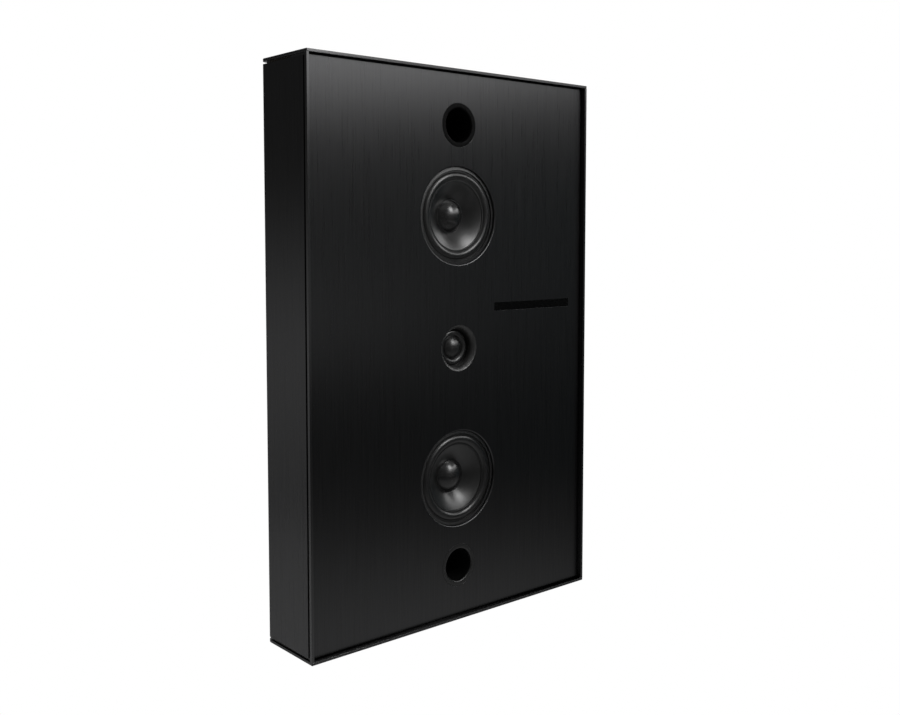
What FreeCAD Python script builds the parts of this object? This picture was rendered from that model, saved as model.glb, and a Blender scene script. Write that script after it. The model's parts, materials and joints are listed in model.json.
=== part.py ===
import FreeCAD, Part
import math
import os
from FreeCAD import Vector

# A flat two-way loudspeaker that hangs on a wall, in millimetres. +Z is up and the front faces -Y.
# The origin is the middle of the wall bracket's four fixing holes, on the wall plane.

# Layout of the cabinet
cabinet_width = 432.0
woofer_offset = 158.4  # from the tweeter's axis up or down to a woofer's
port_spacing = 106.8  # from a woofer's axis on to its port's
port_to_edge = 64.8  # from a port's axis on to the outside of the top or bottom plate
wall_gap = 1.0
rear_recess = 11.0  # room behind the rear panel for the hanging rail
motor_clearance = 8.0  # from a woofer's yoke to the rear panel

# Metal skin
plate_thickness = 3.2
side_sheet = 2.0
lip_depth = 4.2  # side face of the front lip
groove_width = 3.0  # shadow groove between the lip and the side panel
side_gap = 3.0  # shadow gap between a side panel and the plates
fold_radius = 8.0
fold_flange = 14.0
web_overlap = 8.0  # how far an upright's web reaches past the sub-baffle
panel_recess = 6.5
panel_thickness = 3.0
panel_gap = 1.6
opening_round = 1.8  # rounded front edge of a woofer's opening

# Glossy strip in the front panel
strip_height = 10.0
strip_level = 47.3
strip_start = 58.0
strip_margin = 21.0  # from the strip's far end to the panel's edge
strip_sink = 0.4
strip_fit = 0.15

# Boards of the carcass
baffle_thickness = 16.0
board_thickness = 12.0
rear_panel_thickness = 6.0
brace_thickness = 12.0
brace_rail = 10.0  # wood left in front of and behind a brace's windows
brace_window_round = 8.0
breathing_chamfer = 5.6

# Woofer, from its axis outwards
coil_radius = 12.5
former_wall = 0.7
winding_wall = 0.5
coil_gap = 0.5
winding_length = 10.0
vent_radius = 4.0
dust_cap_radius = 20.0
dust_cap_height = 9.5
dust_cap_wall = 0.8
cone_radius = 42.8
cone_depth = 18.3
cone_flare = 1.9  # how far the cone's line bows towards the front
cone_wall = 1.0
roll_width = 9.0
roll_height = 2.4
surround_wall = 0.6
land_width = 2.2  # glued edge on each side of the surround's roll
ring_width = 3.6  # basket ring that shows inside the panel's opening
ring_slope = 0.45  # how far the ring's inner edge stands in front of its outer edge
flange_cover = 8.5  # basket flange that the panel hides

# Woofer, from its flange backwards
flange_sink = 0.3
flange_thickness = 4.0
gasket_thickness = 1.0
seat_depth = 1.6  # from the ring's face to the seat of the surround
spider_drop = 7.0  # from the cone's neck to the seat of the spider
spider_room = 5.0  # from the seat of the spider to the basket's rear plate
spider_radius = 38.3
spider_land = 5.5
spider_wall = 0.6
spider_wave = 1.4
spider_waves = 3
basket_wall = 2.2
basket_plate = 3.0
basket_hole_radius = 20.0
basket_windows = 6
window_angle = 40.0
ear_reach = 16.0
ear_width = 22.0
pole_plate_thickness = 5.0
pole_plate_radius = 40.0
magnet_thickness = 14.0
magnet_radius = 43.0
magnet_bore_radius = 22.0
back_plate_thickness = 5.0

# Tweeter
tweeter_lip_radius = 27.75
tweeter_lip_width = 0.35
throat_radius = 22.6
dish_depth = 8.0
dish_bow = 1.85
dish_floor = 0.2  # flat ring between the throat and the membrane
throat_length = 4.0  # from the dish to the membrane
faceplate_wall = 2.0
tweeter_cover = 8.25  # faceplate flange that the panel hides
tweeter_flange_thickness = 3.0
tweeter_flange_sink = 0.2
dome_radius = 14.0
dome_height = 6.5
tweeter_roll_width = 8.0
tweeter_roll_height = 2.2
membrane_wall = 0.5
membrane_land = 2.6
tweeter_coil_wall = 0.6
tweeter_coil_length = 6.0
tweeter_gap = 0.4
tweeter_motor_radius = 25.5
tweeter_plate_thickness = 3.0
tweeter_magnet_thickness = 7.0
tweeter_magnet_bore_radius = 17.0
tweeter_back_thickness = 3.5
rear_cup_depth = 18.5
rear_cup_wall = 2.0
rear_cup_lap = 3.0

# Port tubes
port_radius = 19.8
port_wall = 2.5
port_flange_width = 3.45  # flange outside the tube's wall
port_length = 46.5
port_round = 1.8

# Fasteners and fits
screw_radius = 1.9
screw_head_radius = 3.6
screw_head_height = 1.8
woofer_screws = 4
tweeter_screws = 3
driver_screw_length = 13.0
board_screw_length = 20.0
plate_screw_grip = 2.0  # how far a screw reaches into a metal plate
screw_inset = 60.0
screw_fit = 0.05
hole_fit = 0.2
glue_gap = 0.1
flex_gap = 0.3  # between a moving cone and what flexes beside it
seat_fit = 0.4

# Hanging rail, wall bracket and bumpers
rail_sheet = 2.0
rail_length = 240.0
rail_height = 30.0
hook_height = 20.0
hook_room = 2.7  # clear slot in front of the rail's hook
hook_play = 0.9
bracket_width = 260.0
fixing_spacing_x = 200.0
fixing_spacing_z = 100.0
fixing_hole_radius = 3.5
fixing_margin = 30.0
bumper_radius = 10.0
bumper_tip_radius = 8.0
bumper_inset = 50.0

# Terminals, crossover and lining
terminal_width = 70.0
terminal_height = 50.0
terminal_depth = 22.0
terminal_wall = 2.0
terminal_flange = 8.0
terminal_round = 6.0
socket_radius = 5.0
socket_bore_radius = 2.05
socket_length = 14.0
socket_spacing = 22.0
socket_tail = 8.0
socket_tail_radius = 2.0
tag_width = 4.8
tag_thickness = 0.8
tag_reach = 6.0
tag_spacing = 10.0
tag_strip_thickness = 2.0
crossover_margin = 14.0
crossover_thickness = 1.6
standoff_height = 8.0
standoff_radius = 4.0
standoff_inset = 6.0
choke_radius = 16.0
choke_bore_radius = 8.0
choke_height = 14.0
capacitor_radius = 8.0
capacitor_length = 32.0
part_gap = 4.0  # between neighbours on the crossover board
pad_thickness = 14.0
pad_margin = 12.0
lead_radius = 1.5
lead_bend = 6.0

# Heights and widths that follow
port_offset = woofer_offset + port_spacing
half_height = port_offset + port_to_edge
half_width = cabinet_width / 2
skin_half_height = half_height - plate_thickness
skin_half_width = half_width - plate_thickness
board_face = half_width - side_sheet
inner_half_width = board_face - board_thickness
inner_half_height = skin_half_height - board_thickness
panel_half_width = skin_half_width - panel_gap
panel_half_height = skin_half_height - panel_gap
strip_end = panel_half_width - strip_margin

# Woofer radii that follow
former_radius = coil_radius + former_wall
winding_radius = former_radius + winding_wall
neck_radius = former_radius + glue_gap
roll_radius = cone_radius + roll_width
land_radius = roll_radius + land_width
seat_radius = land_radius + seat_fit
opening_radius = seat_radius + ring_width
flange_radius = opening_radius + flange_cover
screw_circle = (opening_radius + flange_radius) / 2
basket_radius = seat_radius + basket_wall
basket_rear_radius = spider_radius + basket_wall
baffle_hole_radius = basket_radius + hole_fit

# Woofer depths that follow, counted from the back of the front panel
seat_at = flange_sink + seat_depth
flange_back_at = flange_sink + flange_thickness
gasket_back_at = flange_back_at + gasket_thickness
cone_at = seat_at + flex_gap
neck_at = cone_at + cone_depth
spider_at = neck_at + spider_drop
basket_plate_at = spider_at + spider_room
pole_plate_at = basket_plate_at + basket_plate
magnet_at = pole_plate_at + pole_plate_thickness
back_plate_at = magnet_at + magnet_thickness
woofer_depth = back_plate_at + back_plate_thickness

# Places along Y that follow
rear_face = -(wall_gap + rear_recess)
rear_inside = rear_face - rear_panel_thickness
baffle_front = rear_inside - motor_clearance - woofer_depth
baffle_back = baffle_front + baffle_thickness
panel_front = baffle_front - panel_thickness
front = panel_front - panel_recess
side_front = front + lip_depth + groove_width
woofer_face = baffle_front + flange_sink
tweeter_face = baffle_front + tweeter_flange_sink
web_back = baffle_back + web_overlap

# Tweeter sizes that follow
tweeter_flange_radius = tweeter_lip_radius + tweeter_cover
membrane_radius = throat_radius - dish_floor
tweeter_roll_centre = dome_radius + tweeter_roll_width / 2
tweeter_coil_radius = dome_radius - tweeter_coil_wall
tweeter_body_radius = max(tweeter_motor_radius, throat_radius + faceplate_wall)
tweeter_hole_radius = tweeter_body_radius + rear_cup_wall + hole_fit
tweeter_screw_circle = (tweeter_hole_radius + tweeter_flange_radius) / 2
tweeter_flange_back = tweeter_face + tweeter_flange_thickness
dish_floor_at = panel_front + dish_depth
membrane_at = dish_floor_at + throat_length
tweeter_plate_at = membrane_at + membrane_wall
tweeter_magnet_at = tweeter_plate_at + tweeter_plate_thickness
tweeter_back_at = tweeter_magnet_at + tweeter_magnet_thickness
tweeter_rear = tweeter_back_at + tweeter_back_thickness
rear_cup_back = tweeter_rear + rear_cup_depth

# Places of the inner fittings that follow
port_tube_radius = port_radius + port_wall
port_flange_radius = port_tube_radius + port_flange_width
brace_level = (tweeter_flange_radius + woofer_offset - flange_radius) / 2
service_x = (flange_radius + inner_half_width) / 2
crossover_half_width = (inner_half_width - flange_radius) / 2 - crossover_margin
crossover_half_height = brace_level - brace_thickness / 2 - crossover_margin
crossover_back = rear_inside - standoff_height
crossover_face = crossover_back - crossover_thickness
terminal_floor = rear_face - terminal_depth
socket_back = terminal_floor - terminal_wall - socket_tail
tag_at = baffle_front + pole_plate_at + tag_strip_thickness
tag_end = basket_rear_radius + ear_reach + tag_reach
bracket_half_height = fixing_spacing_z / 2 + fixing_margin
hook_level = bracket_half_height + hook_height - rail_sheet


def point(pair):
    """A profile point: radius or X first, then Y."""
    return Vector(pair[0], pair[1], 0)


def outline(start, *steps):
    """Closed face in the XY plane. A step is an end point, or the middle and end points of an arc."""
    edges = []
    here = start
    for step in steps + (start,):
        if isinstance(step[0], tuple):
            middle, end = step
            edges.append(Part.Arc(point(here), point(middle), point(end)).toShape())
        else:
            end = step
            edges.append(Part.LineSegment(point(here), point(end)).toShape())
        here = end
    return Part.Face(Part.Wire(edges))


def turned(level, start, *steps):
    """Profile turned about a driver's axis, which runs along Y at the given height."""
    solid = outline(start, *steps).revolve(Vector(), Vector(0, 1, 0), 360)
    solid.translate(Vector(0, 0, level))
    return solid


def ring(level, inner, outer, y_from, y_to):
    """Plain ring about a driver's axis; an inner radius of 0 makes a disc."""
    return turned(level, (inner, y_from), (outer, y_from), (outer, y_to), (inner, y_to))


def box(x_from, x_to, y_from, y_to, z_from, z_to):
    corner = Vector(x_from, y_from, z_from)
    return Part.makeBox(x_to - x_from, y_to - y_from, z_to - z_from, corner)


def rod(x, z, radius, y_from, y_to):
    return Part.makeCylinder(radius, y_to - y_from, Vector(x, y_from, z), Vector(0, 1, 0))


def mirrored(shape):
    return shape.mirror(Vector(), Vector(1, 0, 0))


def rounded_box(x_from, x_to, y_from, y_to, z_from, z_to, radius, along):
    """Box whose edges along one direction are rounded."""
    plain = box(x_from, x_to, y_from, y_to, z_from, z_to)
    edges = [e for e in plain.Edges if abs(e.tangentAt(e.FirstParameter).dot(along)) > 0.9]
    return plain.makeFillet(radius, edges)


def around(level, radius, count, first_angle):
    """Places on a circle about a driver's axis, as pairs of X and Z."""
    angles = [math.radians(first_angle + 360 * i / count) for i in range(count)]
    return [(radius * math.cos(a), level + radius * math.sin(a)) for a in angles]


def countersunk_screw(x, z, face, length, fit=0.0):
    """Screw whose head is flush with a face and which runs back from it, or its hole with a fit."""
    head = Part.makeCone(
        screw_head_radius + fit,
        screw_radius + fit,
        screw_head_height,
        Vector(x, face, z),
        Vector(0, 1, 0),
    )
    return head.fuse(rod(x, z, screw_radius + fit, face, face + length))


def round_head_screw(base, direction, length, fit=0.0):
    """Screw whose flat head rests on base, with the shank running in the given direction."""
    shank = Part.makeCylinder(screw_radius + fit, length, base, direction)
    head = Part.makeCylinder(screw_head_radius, screw_head_height, base, direction * -1)
    return head.fuse(shank)


woofer_levels = {"upper": woofer_offset, "lower": -woofer_offset}
port_levels = {"upper": port_offset, "lower": -port_offset}


def woofer_screw_places(level):
    return around(level, screw_circle, woofer_screws, 180 / woofer_screws)


def tweeter_screw_places():
    return around(0, tweeter_screw_circle, tweeter_screws, 90)


def rear_screw_places():
    """Screws of the rear panel, in the middle of the boards' edges."""
    side = board_face - board_thickness / 2
    end = skin_half_height - board_thickness / 2
    reach = inner_half_height - screw_inset
    places = [(x, z) for x in (-side, side) for z in (-reach, -reach / 2, 0, reach / 2, reach)]
    reach = inner_half_width - screw_inset
    return places + [(x, z) for x in (-reach / 2, reach / 2) for z in (-end, end)]


def rail_screw_places():
    level = hook_level + rail_sheet + rail_height / 2
    reach = rail_length / 2 - screw_head_radius * 4
    return [(x, level) for x in (-reach, -reach / 3, reach / 3, reach)]


def plate_screw_places():
    """Screws that hold a plate to its board, as pairs of X and Y."""
    reach = inner_half_width - screw_inset
    middle = (baffle_back + rear_inside) / 2
    spread = (rear_inside - baffle_back) / 4
    return [(x, y) for x in (-reach, 0, reach) for y in (middle - spread, middle + spread)]


# Metal skin


def plate_screw(x, y, up):
    length = board_thickness + plate_screw_grip
    return round_head_screw(Vector(x, y, up * inner_half_height), Vector(0, 0, up), length)


def plate_screw_hole(x, y, up):
    length = board_thickness + plate_screw_grip
    base = Vector(x, y, up * inner_half_height)
    return Part.makeCylinder(screw_radius + screw_fit, length, base, Vector(0, 0, up))


def end_plate(up):
    """Top or bottom plate with blind holes inside; its rear corners follow the side panels' folds."""
    back = -wall_gap
    centre_x = half_width - fold_radius
    centre_y = back - fold_radius
    middle_x = centre_x + fold_radius * math.sqrt(0.5)
    middle_y = centre_y + fold_radius * math.sqrt(0.5)
    face = outline(
        (half_width, front),
        (half_width, centre_y),
        ((middle_x, middle_y), (centre_x, back)),
        (-centre_x, back),
        ((-middle_x, middle_y), (-half_width, centre_y)),
        (-half_width, front),
    )
    face.translate(Vector(0, 0, up * skin_half_height))
    plate = face.extrude(Vector(0, 0, up * plate_thickness))
    return plate.cut([plate_screw_hole(x, y, up) for x, y in plate_screw_places()])


def upright():
    """Front upright on the right: a lip, then a web set back by the side panel's thickness."""
    lip_back = front + lip_depth
    face = outline(
        (half_width, front),
        (half_width, lip_back),
        (board_face, lip_back),
        (board_face, web_back),
        (skin_half_width, web_back),
        (skin_half_width, front),
    )
    face.translate(Vector(0, 0, -skin_half_height))
    return face.extrude(Vector(0, 0, 2 * skin_half_height))


def side_panel():
    """Right side panel: sheet folded round at the rear into a flange that faces the wall."""
    back = -wall_gap
    centre_x = half_width - fold_radius
    centre_y = back - fold_radius
    inner_fold = fold_radius - side_sheet
    slant = math.sqrt(0.5)
    flange_end = centre_x - fold_flange
    face = outline(
        (half_width, side_front),
        (half_width, centre_y),
        ((centre_x + fold_radius * slant, centre_y + fold_radius * slant), (centre_x, back)),
        (flange_end, back),
        (flange_end, back - side_sheet),
        (centre_x, back - side_sheet),
        ((centre_x + inner_fold * slant, centre_y + inner_fold * slant), (board_face, centre_y)),
        (board_face, side_front),
    )
    reach = skin_half_height - side_gap
    face.translate(Vector(0, 0, -reach))
    return face.extrude(Vector(0, 0, 2 * reach))


def eased_opening(level):
    """Cutter for a woofer's opening: a bore with a rounded front edge."""
    mouth = opening_radius + opening_round
    slant = opening_round * (1 - math.sqrt(0.5))
    return turned(
        level,
        (0, panel_front),
        (mouth, panel_front),
        ((opening_radius + slant, panel_front + slant), (opening_radius, panel_front + opening_round)),
        (opening_radius, baffle_front),
        (0, baffle_front),
    )


def strip(fit, y_from):
    low = strip_level - strip_height / 2 - fit
    high = strip_level + strip_height / 2 + fit
    return box(strip_start - fit, strip_end + fit, y_from, baffle_front, low, high)


def front_panel():
    panel = box(
        -panel_half_width,
        panel_half_width,
        panel_front,
        baffle_front,
        -panel_half_height,
        panel_half_height,
    )
    cuts = [eased_opening(level) for level in woofer_levels.values()]
    for level in port_levels.values():
        cuts.append(ring(level, 0, port_flange_radius + hole_fit, panel_front, baffle_front))
    cuts.append(ring(0, 0, tweeter_lip_radius + hole_fit, panel_front, baffle_front))
    cuts.append(strip(strip_fit, panel_front))
    return panel.cut(cuts)


# Carcass


def sub_baffle():
    """Thick board behind the front panel, rebated for the drivers' flanges."""
    board = box(
        -skin_half_width,
        skin_half_width,
        baffle_front,
        baffle_back,
        -skin_half_height,
        skin_half_height,
    )
    rebate = flange_radius + seat_fit
    wide_hole = baffle_hole_radius + breathing_chamfer
    cuts = []
    for level in woofer_levels.values():
        cuts.append(
            turned(
                level,
                (0, baffle_front),
                (rebate, baffle_front),
                (rebate, baffle_front + gasket_back_at),
                (baffle_hole_radius, baffle_front + gasket_back_at),
                (baffle_hole_radius, baffle_back - breathing_chamfer),
                (wide_hole, baffle_back),
                (0, baffle_back),
            )
        )
        for x, z in woofer_screw_places(level):
            cuts.append(countersunk_screw(x, z, woofer_face, driver_screw_length, screw_fit))
    cuts.append(ring(0, 0, tweeter_flange_radius + seat_fit, baffle_front, tweeter_flange_back))
    cuts.append(ring(0, 0, tweeter_hole_radius, baffle_front, baffle_back))
    for x, z in tweeter_screw_places():
        cuts.append(countersunk_screw(x, z, tweeter_face, driver_screw_length, screw_fit))
    for level in port_levels.values():
        cuts.append(ring(level, 0, port_tube_radius + hole_fit, baffle_front, baffle_back))
    return board.cut(cuts)


def rear_screw_holes():
    return [
        rod(x, z, screw_radius + screw_fit, rear_face - board_screw_length, rear_face)
        for x, z in rear_screw_places()
    ]


def side_board():
    """Right side board, rebated at the front for the upright's web."""
    board = box(
        inner_half_width, board_face, baffle_back, rear_inside, -skin_half_height, skin_half_height
    )
    rebate = box(
        skin_half_width, board_face, baffle_back, web_back, -skin_half_height, skin_half_height
    )
    return board.cut([rebate] + rear_screw_holes())


def end_board(up):
    low, high = sorted((up * inner_half_height, up * skin_half_height))
    board = box(-inner_half_width, inner_half_width, baffle_back, rear_inside, low, high)
    holes = [plate_screw_hole(x, y, up) for x, y in plate_screw_places()]
    return board.cut(holes + rear_screw_holes())


def rear_panel():
    panel = box(-board_face, board_face, rear_inside, rear_face, -skin_half_height, skin_half_height)
    for x, z in rail_screw_places():
        panel = panel.cut(rod(x, z, screw_radius + screw_fit, rear_inside, rear_face))
    return panel.cut(rear_screw_holes() + [terminal_body(hole_fit)])


def brace(level):
    """Shelf that ties the sub-baffle to the rear panel, with windows that let air and leads through."""
    half = brace_thickness / 2
    shelf = box(
        -inner_half_width, inner_half_width, baffle_back, rear_inside, level - half, level + half
    )
    window_half_width = crossover_half_width
    windows = [
        rounded_box(
            x - window_half_width,
            x + window_half_width,
            baffle_back + brace_rail,
            rear_inside - brace_rail,
            level - half,
            level + half,
            brace_window_round,
            Vector(0, 0, 1),
        )
        for x in (-service_x, 0, service_x)
    ]
    return shelf.cut(windows)


# Woofers


def basket(level):
    """Cast basket: sloping ring with a seat for the surround, spoked wall, spider seat, rear plate."""
    seat = baffle_front + seat_at
    flange_back = baffle_front + flange_back_at
    spider_seat = baffle_front + spider_at
    plate_front = baffle_front + basket_plate_at
    plate_back = baffle_front + pole_plate_at
    seat_inner = roll_radius - surround_wall
    spider_inner = spider_radius - spider_land
    body = turned(
        level,
        (flange_radius, woofer_face),
        (opening_radius, woofer_face),
        (seat_radius, woofer_face - ring_slope),
        (seat_radius, seat),
        (seat_inner, seat),
        (seat_inner, flange_back + basket_wall / 2),
        (spider_radius + hole_fit, spider_seat),
        (spider_inner, spider_seat),
        (spider_inner, plate_front),
        (basket_hole_radius, plate_front),
        (basket_hole_radius, plate_back),
        (basket_rear_radius, plate_back),
        (basket_rear_radius, spider_seat + basket_wall),
        (basket_radius, flange_back),
        (flange_radius, flange_back),
    )
    ear_half = ear_width / 2
    ear = box(
        spider_radius,
        basket_rear_radius + ear_reach,
        plate_front,
        plate_back,
        level - ear_half,
        level + ear_half,
    )
    window = outline(
        (spider_radius, flange_back + basket_wall),
        (flange_radius, flange_back + basket_wall),
        (flange_radius, spider_seat - basket_wall),
        (spider_radius, spider_seat - basket_wall),
    ).revolve(Vector(), Vector(0, 1, 0), window_angle)
    window.translate(Vector(0, 0, level))
    axis_point = Vector(0, 0, level)
    spoke_angle = 360 / basket_windows - window_angle
    cuts = []
    for i in range(basket_windows):
        turn = 360 * i / basket_windows + spoke_angle / 2
        cuts.append(window.rotated(axis_point, Vector(0, 1, 0), turn))
    for x, z in woofer_screw_places(level):
        cuts.append(countersunk_screw(x, z, woofer_face, driver_screw_length, screw_fit))
    return body.fuse(ear).removeSplitter().cut(cuts)


def gasket(level):
    front_face = baffle_front + flange_back_at
    back_face = baffle_front + gasket_back_at
    seal = ring(level, baffle_hole_radius, flange_radius, front_face, back_face)
    places = woofer_screw_places(level)
    return seal.cut([rod(x, z, screw_radius + screw_fit, front_face, back_face) for x, z in places])


def surround(level):
    """Rolled rubber edge between the basket's seat and the cone."""
    half_wall = surround_wall / 2
    middle = baffle_front + seat_at - half_wall
    centre = cone_radius + roll_width / 2
    crest = middle - roll_height
    arc_radius = ((roll_width / 2) ** 2 + roll_height**2) / (2 * roll_height)
    drop = arc_radius - roll_height
    outer_foot = math.sqrt((arc_radius + half_wall) ** 2 - (drop + half_wall) ** 2)
    inner_foot = math.sqrt((arc_radius - half_wall) ** 2 - (drop - half_wall) ** 2)
    face = middle - half_wall
    back = middle + half_wall
    return turned(
        level,
        (land_radius, back),
        (land_radius, face),
        (centre + outer_foot, face),
        ((centre, crest - half_wall), (centre - outer_foot, face)),
        (cone_radius - land_width, face),
        (cone_radius - land_width, back),
        (centre - inner_foot, back),
        ((centre, crest + half_wall), (centre + inner_foot, back)),
    )


def cone_curve(wall):
    """End points and middle point of the cone's curved line, on its front or, a wall deeper, its back."""
    edge = (cone_radius - land_width, baffle_front + cone_at + wall)
    neck = (neck_radius, baffle_front + neck_at + wall)
    middle = ((edge[0] + neck[0]) / 2, (edge[1] + neck[1]) / 2 - cone_flare)
    return edge, middle, neck


def cone_face_at(radius):
    """Y of the cone's front at a radius."""
    edge, middle, neck = cone_curve(0)
    circle = Part.Arc(point(edge), point(middle), point(neck)).toShape().Curve
    rise = math.sqrt(circle.Radius**2 - (radius - circle.Center.x) ** 2)
    return circle.Center.y - math.copysign(rise, circle.Center.y - middle[1])


def cone(level):
    """Curved cone with a flat lip under the surround."""
    edge, middle, neck = cone_curve(0)
    back_edge, back_middle, back_neck = cone_curve(cone_wall)
    return turned(
        level,
        (cone_radius, edge[1]),
        edge,
        (middle, neck),
        back_neck,
        (back_middle, back_edge),
        (cone_radius, back_edge[1]),
    )


def cap_profile(radius, height, wall, base):
    """Spherical cap of a given wall whose rim lies at Y = base and which bulges to the front."""
    sphere = (radius**2 + height**2) / (2 * height)
    centre = base - height + sphere
    half_angle = math.asin(radius / sphere) / 2
    inner = sphere - wall
    inner_rim = math.sqrt(inner**2 - (centre - base) ** 2)
    inner_half = math.asin(inner_rim / inner) / 2
    return (
        (0, base - height),
        (
            (sphere * math.sin(half_angle), centre - sphere * math.cos(half_angle)),
            (radius, base),
        ),
        (inner_rim, base),
        (
            (inner * math.sin(inner_half), centre - inner * math.cos(inner_half)),
            (0, base - height + wall),
        ),
    )


def dust_cap(level):
    base = cone_face_at(dust_cap_radius) - glue_gap
    return turned(level, *cap_profile(dust_cap_radius, dust_cap_height, dust_cap_wall, base))


def voice_coil(level):
    """Former with its winding centred on the pole plate."""
    front_end = baffle_front + neck_at
    middle = baffle_front + pole_plate_at + pole_plate_thickness / 2
    winding_front = middle - winding_length / 2
    winding_back = middle + winding_length / 2
    return turned(
        level,
        (coil_radius, front_end),
        (former_radius, front_end),
        (former_radius, winding_front),
        (winding_radius, winding_front),
        (winding_radius, winding_back),
        (coil_radius, winding_back),
    )


def spider(level):
    """Corrugated disc that centres the voice coil: waves between a flat rim and a collar."""
    back = baffle_front + spider_at
    face = back - spider_wall
    first = former_radius + flex_gap
    start = first + spider_land / 2
    pitch = (spider_radius - spider_land - spider_room / 2 - start) / (2 * spider_waves)
    places = [start + pitch * i for i in range(2 * spider_waves + 1)]
    shifts = [0.0] + [spider_wave * (-1) ** i for i in range(2 * spider_waves - 1)] + [0.0]
    front_line = [(r, face + s) for r, s in zip(places, shifts)]
    back_line = [(r, back + s) for r, s in zip(places, shifts)]
    return turned(
        level,
        (first, face),
        *front_line,
        (spider_radius, face),
        (spider_radius, back),
        *reversed(back_line),
        (first, back),
    )


def pole_plate(level):
    start = baffle_front + pole_plate_at
    return ring(level, winding_radius + coil_gap, pole_plate_radius, start, start + pole_plate_thickness)


def magnet(level):
    start = baffle_front + magnet_at
    return ring(level, magnet_bore_radius, magnet_radius, start, start + magnet_thickness)


def yoke(level):
    """Back plate and pole in one, with a vent through the pole."""
    tip = baffle_front + pole_plate_at
    plate = baffle_front + back_plate_at
    back = baffle_front + woofer_depth
    pole_radius = coil_radius - coil_gap
    return turned(
        level,
        (vent_radius, tip),
        (pole_radius, tip),
        (pole_radius, plate),
        (pole_plate_radius, plate),
        (pole_plate_radius, back),
        (vent_radius, back),
    )


def terminal_tags(level):
    """Insulating strip on the basket's ear and its two solder tags."""
    seat = baffle_front + pole_plate_at
    edge = basket_rear_radius + ear_reach
    inner = max(magnet_radius, pole_plate_radius) + hole_fit
    strip_half = tag_spacing / 2 + tag_width
    insulator = box(inner, edge, seat, tag_at, level - strip_half, level + strip_half)
    tags = []
    for side in (-1, 1):
        middle = level + side * tag_spacing / 2
        low, high = middle - tag_width / 2, middle + tag_width / 2
        tags.append(box(inner + tag_strip_thickness, tag_end, tag_at, tag_at + tag_thickness, low, high))
    return [insulator] + tags


# Tweeter


def tweeter_faceplate():
    """Dished faceplate: flush lip in the panel's hole, dish, floor round the dome, hidden flange."""
    mouth = tweeter_lip_radius - tweeter_lip_width
    middle = ((mouth + throat_radius) / 2 - dish_bow / 2, (panel_front + dish_floor_at) / 2 - dish_bow / 2)
    plate = turned(
        0,
        (tweeter_lip_radius, panel_front),
        (mouth, panel_front),
        (middle, (throat_radius, dish_floor_at)),
        (membrane_radius, dish_floor_at),
        (membrane_radius, membrane_at),
        (tweeter_body_radius, membrane_at),
        (tweeter_body_radius, tweeter_flange_back),
        (tweeter_flange_radius, tweeter_flange_back),
        (tweeter_flange_radius, tweeter_face),
        (tweeter_lip_radius, tweeter_face),
    )
    screws = [
        countersunk_screw(x, z, tweeter_face, driver_screw_length, screw_fit)
        for x, z in tweeter_screw_places()
    ]
    return plate.cut(screws)


def tweeter_dome():
    """Fabric membrane in one piece: dome, roll and glued rim."""
    back = tweeter_plate_at
    face = back - membrane_wall
    rim = membrane_radius + membrane_land
    outer = tweeter_roll_width / 2
    inner = outer - membrane_wall
    centre = tweeter_roll_centre
    crest, (outside, foot), inner_foot, (inside, inner_crest) = cap_profile(
        dome_radius, dome_height, membrane_wall, face
    )
    return turned(
        0,
        crest,
        (outside, foot),
        ((centre, face - tweeter_roll_height), (centre + outer, face)),
        (rim, face),
        (rim, back),
        (centre + inner, back),
        (centre + inner, face),
        ((centre, face - tweeter_roll_height + membrane_wall), (centre - inner, face)),
        (centre - inner, back),
        (inner_foot[0], back),
        inner_foot,
        (inside, inner_crest),
    )


def tweeter_voice_coil():
    start = tweeter_plate_at
    return ring(0, tweeter_coil_radius, dome_radius, start, start + tweeter_coil_length)


def tweeter_pole_plate():
    inner = dome_radius + tweeter_gap
    return ring(0, inner, tweeter_motor_radius, tweeter_plate_at, tweeter_magnet_at)


def tweeter_magnet():
    return ring(0, tweeter_magnet_bore_radius, tweeter_motor_radius, tweeter_magnet_at, tweeter_back_at)


def tweeter_yoke():
    pole_radius = tweeter_coil_radius - tweeter_gap
    return turned(
        0,
        (vent_radius, tweeter_plate_at),
        (pole_radius, tweeter_plate_at),
        (pole_radius, tweeter_back_at),
        (tweeter_motor_radius, tweeter_back_at),
        (tweeter_motor_radius, tweeter_rear),
        (vent_radius, tweeter_rear),
    )


def tweeter_rear_cup():
    """Moulded cup pushed over the motor, which closes the air behind the dome."""
    inner = tweeter_motor_radius
    outer = inner + rear_cup_wall
    mouth = tweeter_rear - rear_cup_lap
    return turned(
        0,
        (inner, mouth),
        (outer, mouth),
        (outer, rear_cup_back),
        (0, rear_cup_back),
        (0, rear_cup_back - rear_cup_wall),
        (inner, rear_cup_back - rear_cup_wall),
    )


# Ports


def port(level):
    """Tube with a flush flange and rounded mouths."""
    back = panel_front + port_length
    slant = port_round * (1 - math.sqrt(0.5))
    tail_round = port_wall / 2
    return turned(
        level,
        (port_flange_radius, panel_front),
        (port_flange_radius, baffle_front),
        (port_tube_radius, baffle_front),
        (port_tube_radius, back - tail_round),
        ((port_radius + tail_round, back), (port_radius, back - tail_round)),
        (port_radius, panel_front + port_round),
        ((port_radius + slant, panel_front + slant), (port_radius + port_round, panel_front)),
    )


# Wall fixing


def extruded_along_x(length, start, *steps):
    """Section given as pairs of Z and Y, drawn out to both sides of the middle."""
    section = outline(start, *steps)
    section.rotate(Vector(), Vector(0, 1, 0), -90)
    section.translate(Vector(-length / 2, 0, 0))
    return section.extrude(Vector(length, 0, 0))


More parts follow.
